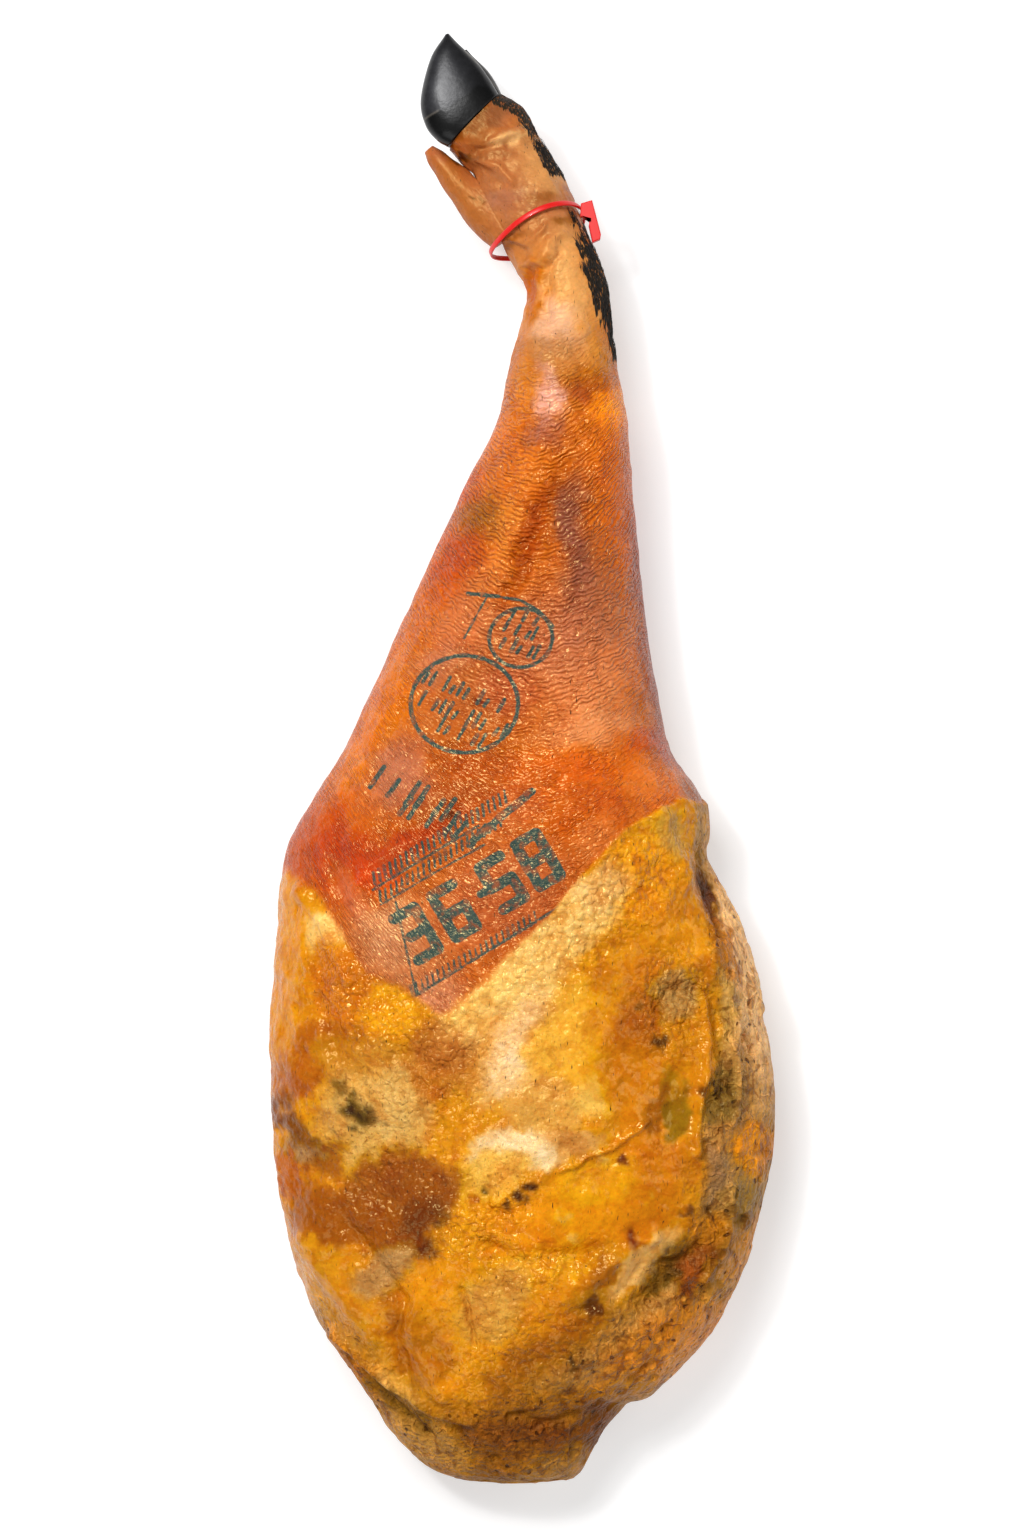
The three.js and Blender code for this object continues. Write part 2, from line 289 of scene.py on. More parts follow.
# Ridges (height above 0) and creases (below 0): height, half width, line.
FOLDS = [
    (-2.6, 4.9, [(23, 158), (14, 138), (3, 114), (-9, 86)]),
    (1.3, 5.4, [(9, 167), (-2, 130), (-14, 98)]),
    (1.2, 6.5, [(35, 157), (28, 119), (16, 85)]),
    (1.8, 7, [(16, 225), (15, 195), (12, 173)]),
    (-1.5, 5.4, [(30, 210), (33, 197), (23, 179)]),
    (1.4, 8.6, [(45, 199), (48, 184), (42, 163)]),
    (-1.6, 3.2, [(-2, 272), (1, 260), (2, 249)]),
    (1.3, 2.7, [(-1, 264), (7, 269), (16, 276), (23, 279)]),
    (-1.1, 2.2, [(1, 260), (11, 265), (19, 272)]),
    (1.0, 2.2, [(-7, 276), (4, 278), (13, 284)]),
    (-1.2, 2.7, [(13, 265), (15, 249), (13, 235)]),
    (0.8, 2.7, [(9, 227), (20, 223), (34, 227)]),
    (-0.8, 2.7, [(6, 221), (20, 215), (33, 219)]),
    (1.2, 2.7, [(-16, 330), (-8, 334), (2, 336)]),
    (-1.4, 2.7, [(-27, 325), (-18, 327), (-6, 329)]),
    (-1.2, 2.7, [(-24, 316), (-16, 310), (-11, 307)]),
    (0.9, 2.2, [(-23, 319), (-12, 316), (-5, 308)]),
    (-1.3, 3.8, [(44, -3), (20, -8), (4, -17)]),
    (1.5, 7.6, [(63, 11), (42, 14), (20, 9)]),
    (1.4, 6.5, [(-55, 65), (-72, 28), (-81, 1)]),
    (-1.4, 3.2, [(-65, 33), (-75, 10), (-82, -21)]),
    (-1.5, 4.3, [(-99, -29), (-102, -59), (-93, -78)]),
    (1.4, 4.3, [(-90, -78), (-80, -55), (-53, -42)]),
    (-1.2, 3.2, [(-75, -66), (-55, -57), (-28, -44)]),
    (1.2, 4.9, [(-45, 50), (-33, 38), (-28, 14)]),
    (1.9, 4.3, [(-118, -70), (-104, -91), (-92, -116)]),
    (-1.8, 5.4, [(-110, -107), (-106, -129), (-99, -153)]),
    (-1.4, 4.9, [(-64, -156), (-47, -163), (-28, -153)]),
    (1.5, 1.6, [(20, -215), (34, -210), (48, -204), (57, -197), (66, -190)]),
    (1.8, 3.8, [(-13, -232), (1, -227), (12, -215)]),
    (-2.4, 5.4, [(-15, -257), (9, -263), (36, -259)]),
    (2.0, 5.4, [(-28, -241), (-12, -249), (16, -271)]),
    (2.6, 7, [(-117, -257), (-102, -278), (-81, -304)]),
    (-2.2, 4.3, [(-92, -248), (-73, -271), (-61, -291)]),
    (-2.0, 4.3, [(-64, -286), (-68, -307), (-64, -325)]),
    (1.6, 5.9, [(-58, -291), (-55, -318), (-45, -336)]),
    (2.8, 2.7, [(-102, -306), (-86, -320), (-70, -333), (-47, -347), (-28, -350)]),
    (-2.2, 3.2, [(-92, -319), (-70, -344), (-50, -361)]),
    (-1.6, 1.3, [(-32, -279), (-28, -291), (-26, -308)]),
    (1.8, 4.9, [(20, -282), (42, -271), (67, -251)]),
    (-1.4, 3.8, [(27, -291), (48, -285), (63, -271)]),
    (1.8, 4.3, [(74, -32), (87, -64), (98, -89), (103, -110)]),
    (-4.0, 4.9, [(97, -49), (101, -67), (108, -89)]),
    (2.2, 3.2, [(108, -48), (115, -78), (123, -107), (128, -134)]),
    (-2.4, 4.3, [(74, -130), (85, -120), (98, -124)]),
    (2.2, 2.7, [(98, -121), (99, -151), (95, -183), (90, -205)]),
    (-2.0, 3.2, [(104, -129), (108, -161), (103, -188)]),
    (1.6, 2.2, [(113, -134), (116, -167), (112, -194)]),
    (-2.0, 7, [(83, -167), (79, -201)]),
    (1.8, 2.7, [(112, -226), (109, -253), (98, -278)]),
    (-3.0, 5.4, [(92, -257), (76, -274), (63, -289)]),
    (1.3, 5.0, [(83, -287), (54, -308), (20, -327)]),
    (-2.0, 3.4, [(57, -344), (31, -350), (6, -352)]),
]

# The skin starts this far inside the solid, and its relief fades below this height.
BASE_DEPTH, UNDERSIDE = -1.0, 4

# Where the fat is rippled, waxy or mouldy: an oval, its turn, and how much.
RIPPLED = [
    ((-92, -124, 19, 28, 30), 1.0), ((-55, -136, 32, 22, 20), 0.9), ((34, -78, 65, 26, 41), 1.0),
    ((63, -59, 19, 27, 10), 0.9), ((-26, -247, 24, 14, 24), 1.0), ((4, -266, 29, 12, 6), 1.0),
    ((20, -315, 59, 27, 20), 0.6), ((-45, -163, 32, 27, 0), 0.7), ((-61, -232, 38, 27, 0), 0.4),
    ((80, -129, 22, 27, 0), 1.0), ((36, -259, 16, 11, 0), 0.6),
]
WAXY = [
    ((-129, -107, 10, 65, 0), 0.9), ((61, -178, 24, 36, 0), 1.0), ((20, -244, 39, 22, 8), 1.0),
    ((66, -234, 18, 30, 0), 0.9), ((-103, -282, 15, 35, 36), 0.9), ((83, -97, 13, 16, 12), 1.0),
    ((-36, -271, 32, 13, 22), 0.9), ((81, -186, 10, 18, -14), 0.9), ((-93, -121, 16, 27, 34), 0.7),
    ((-23, -325, 32, 18, 10), 0.6), ((53, -273, 32, 10, 44), 0.6),
]
MOULDY = [
    ((-81, -191, 36, 35, 0), 1.0), ((-73, -272, 19, 14, 30), 0.9), ((-14, -215, 29, 25, 0), 0.8),
    ((-18, -291, 25, 19, 0), 0.7), ((83, -125, 15, 15, 0), 0.9), ((-9, -153, 32, 27, 0), 0.6),
    ((20, -188, 24, 22, 0), 0.6), ((-45, -167, 22, 19, 0), 0.6), ((-118, -208, 13, 11, 0), 1.0),
    ((96, -219, 15, 15, 0), 0.6), ((-104, -91, 13, 15, 20), 0.5), ((76, -267, 10, 19, -45), 0.5),
    ((47, -210, 32, 10, 14), 0.4), ((-66, -343, 38, 11, -34), 0.8), ((-12, -367, 59, 27, 0), 0.6),
]


def lump_height(x, y):
    """The height of the large lumps, each a Gaussian hill on a turned oval."""
    total = np.zeros(np.shape(x))
    for cx, cy, half_long, half_wide, turn, height in LUMPS:
        across, ahead = offsets(x, y, cx, cy, turn)
        a, b = ahead / half_long, across / half_wide
        total += height * np.exp(-a * a - b * b)
    return total


def zones(points):
    """Shares of fat, rough lean and bristles, from 0 to 1, and the way past the rind's edge."""
    x, y, z = np.moveaxis(points, -1, 0)
    wander, small = rough_noise(points, 16, 11), rough_noise(points, 5, 12)
    edge_x, edge_y = np.array(RIND_EDGE).T

    # The rind's cut edge is crisp on the right and blurs over 5 mm on the left.
    soft = 1.6 + 3.2 * smooth_step(-x, -20, 30)
    cut = np.interp(x, edge_x, edge_y) - y + 1.8 * wander + 0.5 * soft * small
    fat = smooth_step(cut, -soft, soft)

    # The lean face wanders by 5 mm, and blurs towards the butt. The flat side, below 30 mm
    # and up to y 60, is finished like it.
    wide = rough_noise(points, 40, 13)
    trim = inside(x + 5 * wide, y + 5 * wander, LEAN_FACE) + 2.5 * small
    blurred = 4 + 9 * smooth_step(-250 - y, -60, 20)
    below = smooth_step(30 - z + 0.12 * x + 5 * wander, -6, 6) * smooth_step(60 - y, -30, 30)
    lean = np.maximum(smooth_step(trim, -blurred, blurred) * fat, below)

    # Bristles end in streaks that run along the leg, and thin out down its side.
    streak = noise(points * [1, 0.22, 1], 1.6, 21) * 2.4 + noise(points * [1, 0.3, 1], 5, 22) * 2.2
    hair = smooth_step(inside(x, y, SHANK_HAIR) + streak, -1.2, 1.2)
    spots = 1.2 * noise(points, 3, 23) + 0.5 * streak
    hair = np.maximum(hair, smooth_step(inside(x, y, PASTERN_HAIR) + spots, -1, 1))
    hair = np.maximum(hair, 0.95 * smooth_step(inside(x, y, HAIR_LINE_HAIR) + spots, -2, 1))
    hair = hair * smooth_step(z + 7 * noise(points, 6, 24), 22, 30)
    return fat, lean, hair, cut


def marked(points, patches, seed):
    """The largest share that any of the soft ovals gives each place, with wandering edges."""
    x = points[..., 0] + 4 * rough_noise(points, 18, seed)
    y = points[..., 1] + 4 * rough_noise(points, 18, seed + 5)
    shares = [strength * blob(x, y, *oval, 5) for oval, strength in patches]
    return np.max(shares, axis=0) * smooth_step(points[..., 2], 20, 40)


def cords(points, size, seed):
    """Thin raised cords that run lengthwise: most where a stretched noise is near zero."""
    return np.clip(1 - 5 * np.abs(noise(points * [1, 0.3, 0.8], size, seed)), 0, 1)


def relief(points):
    """Height along the surface's normal: folds by name, then each zone's own roughness."""
    x, y, z = np.moveaxis(points, -1, 0)
    fat, lean, _, cut = zones(points)
    skin, soft = 1 - np.maximum(fat, lean), fat * (1 - lean)
    upper, leg = smooth_step(z, 12, 34), smooth_step(y, 150, 230)
    height = np.full(np.shape(x), BASE_DEPTH)

    # The folds wander by up to 3 mm, and are deeper in the fat and on the foot.
    strength = 1 + 0.5 * fat + 0.7 * smooth_step(y, 200, 240)
    bent = 3.2 * rough_noise(points, 14, 31)
    for tall, half, line in FOLDS:
        away = to_line(x + bent, y - bent, line) / half
        height += upper * strength * tall * np.exp(-away ** 2)

    # The fat stands up along the cut edge of the rind, most on the right, and sinks over 22 mm.
    right_arm = smooth_step(x, -60, -10)
    height += upper * fat * (0.4 + 1.4 * right_arm) * np.exp(-np.maximum(cut, 0) / 22)

    # Swells of 24 mm and dimples of 7 mm on the rind, dents of 11 mm on shank and foot.
    height += skin * (0.9 - 0.4 * leg) * rough_noise(points, 24, 41)
    height += skin * 0.3 * rough_noise(points, 7, 44)
    height += skin * leg * 0.9 * rough_noise(points, 11, 46)

    # Lumps of 36 and 12 mm in the fat, and ripples 5.5 and 3.4 mm apart where it is rippled.
    height += soft * (3.0 * rough_noise(points, 36, 51) + 1.5 * rough_noise(points, 12, 54))
    ripple = marked(points, RIPPLED, 57) * soft
    along = points * [0.8, 1.3, 1]
    height += ripple * 0.5 * (1 - 2 * np.abs(noise(along, 5.5, 58)))
    height += ripple * 0.35 * noise(points, 3.4, 59)

    # Fibres, lumps, crumbs, cords and pits of the lean, weaker down its steep side.
    lean = lean * (0.4 + 0.6 * smooth_step(z, 45, 80))
    fibre = rough_noise(points * [1, 0.45, 1], 11, 61)
    height += lean * (1.2 * fibre + 1.3 * rough_noise(points, 20, 64) + 0.45 * noise(points, 3.6, 65))
    height += lean * (0.9 * cords(points, 16, 66) + 0.5 * noise(points, 6, 68))
    height -= lean * 6 * np.maximum(noise(points, 7, 67) - 0.42, 0)
    return height * np.where(z < UNDERSIDE, 0.15, 1)


def grid_normals(points):
    """Unit normals of a grid of points, from its differences along rows and columns."""
    along = np.gradient(points, axis=0)
    across = np.gradient(points, axis=1)
    normal = np.cross(across, along)
    return -normal / np.maximum(np.linalg.norm(normal, axis=-1, keepdims=True), 1e-9)


def ring_normals(points):
    """Unit normals of a grid whose rows are closed rings."""
    looped = np.concatenate([points[:, -1:], points, points[:, :1]], axis=1)
    return grid_normals(looped)[:, 1:-1]


# The colours of the rind, painted in order: x, y, half across, half along, turn, colour,
# strength, and how sharp its edge is. Some rows are painted light, not rind colour:
# painted highlights and sheen, and painted shade on the right flank, in a groove and in creases.
RIND_COLOUR = "#c4703a"
RIND_PATCHES_AND_PAINTED_LIGHT = [
    (-53, 65, 32, 108, -24, "#cc7a3e", 0.8, 4), (-81, 10, 9, 57, -27, "#d9832f", 0.8, 4),
    (-45, 92, 6, 38, -24, "#cf7433", 0.7, 4), (53, 109, 14, 65, 2, "#cd6c2b", 0.7, 4),
    # (68, 65) is painted shade down the right flank.
    (68, 65, 7, 59, 6, "#8f4219", 0.85, 4), (79, 5, 12, 14, 20, "#8c4a2c", 0.8, 4),
    # (34, 55) here, and (39, 14) and (66, -13) on the next line, are painted highlights.
    (92, -16, 9, 12, 10, "#8d5b42", 0.8, 5), (34, 55, 24, 32, 0, "#e09868", 0.75, 3),
    (39, 14, 26, 16, 15, "#e3a36e", 0.75, 4), (66, -13, 21, 14, 0, "#e48c48", 0.8, 4),
    (20, -6, 31, 11, 8, "#d66c24", 0.85, 4), (63, 9, 16, 9, 0, "#c65c1c", 0.7, 4),
    (34, -29, 24, 15, 20, "#c8652c", 0.7, 4), (-6, -21, 25, 12, 30, "#c06a44", 0.7, 4),
    (27, 122, 8, 45, 3, "#8a5a50", 0.85, 3), (42, 87, 12, 25, 10, "#a3674f", 0.6, 3),
    # (4, 117) is painted shade in the groove down the shank.
    (4, 117, 5, 43, -24, "#a24f22", 0.7, 3), (-8, 122, 6, 35, -22, "#d98b42", 0.75, 4),
    (-23, 130, 11, 11, 0, "#8f6b38", 0.75, 3), (-36, 105, 12, 23, -24, "#b04a2a", 0.7, 3),
    # (-33, 65) here and (-45, 50) on the next line are painted highlights.
    (-32, 148, 8, 13, -20, "#bf5727", 0.7, 4), (-33, 65, 15, 27, -20, "#c9805a", 0.7, 3),
    (-26, 31, 25, 22, 0, "#b9602f", 0.7, 4), (-45, 50, 15, 9, 25, "#cd8863", 0.65, 4),
    (-9, 38, 14, 13, 0, "#bd6347", 0.65, 4), (9, 65, 24, 22, 0, "#b87355", 0.65, 4),
    # (-65, -8) is a painted highlight.
    (-65, -8, 16, 19, -15, "#bf8268", 0.8, 5), (-40, -21, 23, 13, 20, "#a4573a", 0.75, 4),
    (-28, 1, 24, 10, -5, "#b15a2a", 0.75, 4), (-60, -44, 33, 8, 28, "#b04a17", 0.85, 4),
    (-96, -48, 18, 23, 10, "#b84c14", 0.9, 4), (-76, -64, 13, 10, 0, "#cf5414", 0.9, 5),
    (-87, -24, 9, 13, -20, "#cf7a45", 0.7, 4), (-92, -70, 6, 19, 20, "#c77454", 0.75, 4),
    (-119, -48, 8, 18, -10, "#b5581e", 0.85, 4), (-69, -94, 21, 23, 20, "#cc9870", 0.85, 4),
    (-45, -124, 13, 13, 0, "#d69a76", 0.9, 4), (-12, -72, 38, 24, 32, "#bb6c4a", 0.75, 5),
    # (-31, 30) is part ink wash, part painted sheen round the large ring.
    (-31, 30, 27, 24, 0, "#a87858", 0.3, 4), (36, -40, 10, 10, 0, "#d5874e", 0.7, 4),
    (20, 179, 38, 27, 0, "#d27a38", 0.8, 4), (-26, 346, 20, 3, 46, "#5a3422", 0.8, 2),
    (48, 190, 12, 16, 0, "#ff9c34", 1.0, 4), (36, 202, 14, 8, 5, "#ad5520", 0.85, 4),
    # (13, 194) is a painted highlight on the hock.
    (30, 196, 8, 7, 0, "#a84f3a", 0.7, 4), (13, 194, 7, 19, 4, "#e2a88f", 0.9, 5),
    (12, 172, 8, 8, 0, "#a5644f", 0.7, 4), (-1, 204, 7, 15, 8, "#de8a3c", 0.8, 4),
    (23, 249, 28, 41, 5, "#e9a554", 0.9, 5), (16, 233, 16, 13, 0, "#f5c489", 0.8, 4),
    (7, 251, 5, 19, -8, "#c96a1e", 0.9, 4), (25, 269, 8, 31, 16, "#f0b765", 0.8, 4),
    (42, 222, 9, 14, 10, "#dd9440", 0.7, 4), (12, 219, 14, 6, 0, "#c98a4c", 0.7, 4),
    (-1, 308, 31, 33, 0, "#c4814c", 0.95, 5), (-1, 269, 13, 9, 20, "#cf8a4a", 0.7, 4),
    (14, 316, 11, 24, 26, "#e6ab5e", 0.8, 4), (-12, 325, 9, 6, 0, "#b96f42", 0.7, 4),
    (-24, 335, 8, 10, 40, "#a8663c", 0.8, 4), (-8, 333, 10, 4, 18, "#edbb6c", 0.95, 6),
    (-12, 349, 9, 6, 0, "#c98a5e", 0.7, 4), (-9, 300, 14, 6, 0, "#b97f58", 0.7, 4),
    (12, 295, 14, 6, 10, "#c8834f", 0.6, 4), (27, 303, 4, 8, 0, "#b06a44", 0.7, 4),
    (-35, 303, 9, 33, 33, "#bd7842", 0.9, 5), (-49, 326, 5, 8, 33, "#c2774b", 0.8, 4),
    # (-31, 324) is painted shade between the side claw and the foot.
    (-31, 324, 7, 2, 0, "#4a3020", 0.8, 4), (-15, 347, 14, 6, 25, "#96603e", 0.8, 4),
    # The four small brown ovals on this line and the next are painted shade in creases and next to the
    # strap.
    (-16, 325, 14, 4, 15, "#a86c42", 0.6, 4), (-9, 276, 9, 3, 25, "#9c5c30", 0.7, 4),
    (12, 300, 8, 4, 10, "#a06034", 0.6, 4), (20, 288, 6, 3, 5, "#8c542c", 0.6, 4),
]

# The colours of the fat, painted over its base in the same way, and one painted highlight.
FAT_COLOUR = "#d98f2a"
FAT_PATCHES_AND_HIGHLIGHT = [
    (-129, -107, 8, 65, 0, "#da8f2a", 0.9, 5), (-104, -90, 14, 15, 20, "#f8cc7a", 0.9, 5),
    (-92, -121, 16, 27, 34, "#d47c10", 0.9, 5), (-104, -150, 18, 13, 0, "#b5660c", 0.9, 5),
    (-67, -131, 19, 12, 24, "#efa832", 0.9, 5), (-45, -163, 22, 16, 20, "#c07c44", 0.7, 3),
    (-55, -180, 13, 16, 0, "#c97a34", 0.8, 5), (-37, -148, 16, 9, 30, "#c4844a", 0.8, 5),
    (14, -96, 81, 16, 41, "#fccd72", 0.95, 5), (68, -35, 19, 9, 40, "#e6a31c", 0.9, 6),
    (79, -42, 8, 16, 10, "#c99d54", 0.8, 5), (63, -64, 18, 22, 10, "#ec9c2c", 0.9, 5),
    (20, -89, 43, 11, 40, "#f5c774", 0.8, 4), (42, -64, 13, 9, 40, "#efbd74", 0.7, 4),
    (83, -97, 11, 16, 12, "#eb9e20", 0.95, 6), (60, -138, 11, 22, -28, "#b0640c", 0.85, 4),
    (68, -113, 14, 9, 0, "#cf7d14", 0.9, 5), (83, -124, 14, 14, 0, "#bd9258", 0.95, 5),
    (96, -116, 8, 9, 20, "#c98a20", 0.8, 5), (2, -150, 20, 32, -35, "#fadcac", 0.85, 3),
    (20, -145, 18, 32, -16, "#eaab40", 0.9, 5), (14, -183, 18, 16, 0, "#dba356", 0.85, 5),
    (-47, -152, 14, 15, 20, "#b8703c", 0.85, 3), (36, -175, 13, 11, 0, "#f0be5c", 0.9, 5),
    (61, -172, 19, 27, 0, "#d48408", 0.95, 6), (63, -205, 24, 13, 0, "#dd8c0a", 0.9, 5),
    (20, -204, 24, 8, 14, "#dba35e", 0.9, 6), (-8, -208, 23, 15, 12, "#f8d89c", 1.0, 8),
    (-19, -224, 22, 13, 20, "#edb753", 0.95, 6), (-87, -161, 32, 16, 0, "#c48742", 0.8, 5),
    (-79, -195, 32, 27, 0, "#d9aa5e", 0.95, 5), (-68, -180, 8, 22, 0, "#e0b468", 0.7, 5),
    (-120, -168, 14, 14, 0, "#b4680f", 0.9, 5), (-118, -208, 12, 10, 0, "#a98560", 0.9, 5),
    (-105, -211, 8, 12, -20, "#9c5c10", 0.85, 3), (-127, -222, 8, 14, 0, "#b5610a", 0.9, 6),
    (-63, -233, 32, 25, -6, "#9c5a04", 1.0, 7), (-104, -244, 24, 16, -10, "#a05c06", 0.95, 6),
    (-53, -251, 13, 22, -14, "#764404", 0.95, 6), (-67, -259, 16, 9, 0, "#8c4d12", 0.9, 5),
    (-104, -281, 14, 33, 36, "#d69238", 1.0, 8), (-73, -271, 19, 13, 30, "#b98a56", 0.95, 6),
    (-65, -290, 9, 14, 0, "#b06a1c", 0.9, 5), (-38, -271, 33, 14, 22, "#e4960f", 0.95, 6),
    (-28, -246, 22, 13, 24, "#e9a02a", 0.9, 5), (20, -244, 39, 19, 8, "#ea980c", 1.0, 7),
    (66, -233, 18, 29, 0, "#d98610", 0.95, 5), (36, -222, 22, 11, 10, "#eba93c", 0.8, 5),
    # (9, -267) is a painted highlight on glossy fat.
    (9, -267, 24, 11, 6, "#f0ad3c", 0.95, 6), (-16, -288, 16, 25, -20, "#dea755", 0.85, 3),
    (20, -291, 22, 18, 0, "#dd9018", 0.9, 5), (42, -276, 12, 9, 20, "#a46410", 0.9, 4),
    (64, -268, 27, 7, 44, "#ecb86c", 0.9, 6), (38, -289, 13, 11, 0, "#b07834", 0.9, 5),
    (38, -289, 5, 5, 0, "#6a4434", 0.9, 5), (-23, -325, 33, 19, 10, "#ea9c28", 0.9, 5),
    (-53, -315, 14, 19, 0, "#c27a22", 0.9, 5), (20, -318, 43, 19, 20, "#a9682a", 0.95, 5),
    (63, -303, 10, 10, 20, "#cb9650", 0.9, 6), (81, -186, 8, 16, -14, "#9a7412", 1.0, 7),
    (76, -171, 5, 9, -20, "#b8860e", 0.9, 6), (69, -183, 4, 14, -20, "#a5660c", 0.8, 6),
    (-130, -187, 10, 5, -40, "#75430c", 0.8, 4), (-120, -197, 9, 5, -50, "#7c4c14", 0.7, 4),
]

# The colours of the rough lean face and the trimmed butt.
LEAN_COLOUR = "#b5854c"
LEAN_PATCHES = [
    (119, -116, 11, 59, 14, "#fcc888", 0.9, 4), (109, -48, 8, 22, 16, "#d29c5c", 0.85, 4),
    (93, -37, 6, 19, 10, "#b88c4c", 0.8, 5), (98, -72, 6, 16, 20, "#5e3716", 0.95, 5),
    (108, -99, 5, 22, 18, "#a8652c", 0.85, 5), (104, -134, 10, 27, 6, "#b9904c", 0.8, 4),
    (97, -156, 8, 24, 0, "#a9762e", 0.8, 5), (106, -179, 12, 14, 0, "#84683e", 0.9, 5),
    (124, -206, 10, 15, -4, "#d98a2c", 0.95, 6), (96, -219, 14, 14, 0, "#a27e58", 1.0, 7),
    (121, -235, 11, 14, 0, "#9c7a44", 0.85, 5), (102, -249, 14, 10, 0, "#b5702c", 0.85, 5),
    (76, -267, 9, 18, -45, "#4c3d2a", 0.95, 6), (93, -271, 9, 16, -35, "#8a4a14", 0.9, 6),
    (104, -271, 6, 22, -24, "#9a6836", 0.8, 5), (119, -271, 9, 32, -22, "#dc9446", 0.9, 5),
    (96, -291, 22, 8, 30, "#b08446", 0.85, 5), (72, -311, 38, 16, 33, "#cc8038", 0.9, 4),
    (90, -314, 34, 10, 45, "#e0944a", 0.95, 5), (47, -338, 27, 6, 18, "#c8893e", 0.9, 5),
    (-12, -341, 59, 12, 0, "#96602c", 0.85, 4), (-1, -361, 38, 13, 0, "#7c4a1e", 0.9, 4),
    (-23, -375, 32, 11, 0, "#8e5c2a", 0.9, 4), (38, -359, 11, 16, 0, "#7c4c24", 0.9, 5),
    (-50, -367, 22, 13, -30, "#c08c4a", 0.9, 4), (-92, -325, 12, 27, 38, "#bd7634", 0.9, 5),
    (-66, -344, 22, 8, -34, "#7c5a34", 0.9, 5), (-67, -333, 16, 5, -34, "#d0a05a", 0.9, 6),
]

# Small stains, specks of mould and grains: x, y, half width, half height, colour, strength.
SPECKS = [
    (-91, -177, 2, 2, "#4a3a2a", 0.8), (-90, -185, 5, 5, "#2e2722", 0.95),
    (-85, -190, 5, 5, "#3a322a", 0.8), (-97, -173, 3, 3, "#5c4630", 0.7),
    (-81, -183, 3, 3, "#4a3e30", 0.7), (-73, -191, 2, 2, "#6a5238", 0.6),
    (-129, -183, 5, 5, "#6a3c10", 0.6), (-122, -193, 5, 5, "#7a4a1a", 0.6),
    (-132, -195, 3, 3, "#5a300c", 0.6), (4, -223, 3, 3, "#33231c", 0.9),
    (-2, -228, 3, 3, "#3c2820", 0.9), (-9, -234, 2, 2, "#4c342a", 0.8),
    (-18, -226, 2, 2, "#4a3830", 0.8), (-18, -219, 1, 1, "#4a3830", 0.8),
    (-26, -231, 2, 2, "#9a4a20", 0.6), (58, -252, 3, 5, "#6b2f12", 0.9),
    (55, -211, 2, 3, "#5a2a18", 0.9), (38, -289, 4, 3, "#5e3c30", 0.8),
    (26, -319, 2, 2, "#3a2c26", 0.8), (87, -238, 2, 2, "#5a3626", 0.7),
    (101, -240, 3, 3, "#55382c", 0.7), (63, -129, 2, 2, "#6a4a2a", 0.7),
    (73, -123, 2, 2, "#5c3a1e", 0.8), (72, -149, 3, 3, "#3c2a1c", 0.8),
    (104, -176, 2, 2, "#3c2c20", 0.8), (96, -174, 2, 2, "#4c3424", 0.7),
    (106, -183, 3, 3, "#5c4834", 0.7), (-50, -257, 5, 5, "#5c361a", 0.7),
    (-42, -240, 4, 5, "#6a4220", 0.7), (-66, -230, 3, 3, "#8a4c1c", 0.6),
    (27, -251, 4, 4, "#f4c06a", 0.8), (21, -240, 3, 3, "#f1bb64", 0.75),
    (41, -210, 2, 2, "#e8b96c", 0.6), (67, -230, 2, 2, "#e9b465", 0.6),
    (-29, -90, 2, 2, "#8a4a34", 0.5), (-23, 32, 2, 2, "#6e2c1a", 0.8), (-38, -28, 2, 2, "#3c2c28", 0.7),
    (-22, 301, 2, 2, "#7a4a30", 0.6), (-28, 301, 1, 1, "#5a3420", 0.7),
    (-41, -220, 2, 2, "#6a3a1c", 0.6), (-104, -206, 3, 3, "#7c3c18", 0.7),
    (-116, -217, 2, 2, "#7c3c18", 0.6),
]

# The pale sheen that the photograph's light adds to every colour, taken off again here,
# with factors for everything, for the rind and for the foot, and the darkest colour.
HAZE = np.array([0.012, 0.024, 0.034])
DEEPER = np.array([0.98, 0.95, 1.0])
RUDDY = np.array([1.1, 0.88, 0.75])
FOOT_SHADE = np.array([0.84, 0.76, 1.0])
DARKEST = (0.008, 0.005, 0.003)
# How crisp the patches of rind, fat and lean are, and how strongly those of the rind differ, painted
# highlights and shade among them.
RIND_CRISP, FAT_CRISP, LEAN_CRISP = 1.2, 2.2, 1.6
RIND_CONTRAST = 1.15


def painted(x, y, base, patches, crisp):
    """A field of sRGB colour: soft turned ovals painted over a base, in order."""
    field = np.broadcast_to(srgb(base), np.shape(x) + (3,)).copy()
    for cx, cy, half_x, half_y, turn, code, strength, edge in patches:
        share = (strength * blob(x, y, cx, cy, half_x, half_y, turn, edge * crisp))[..., None]
        field += share * (srgb(code) - field)
    return field


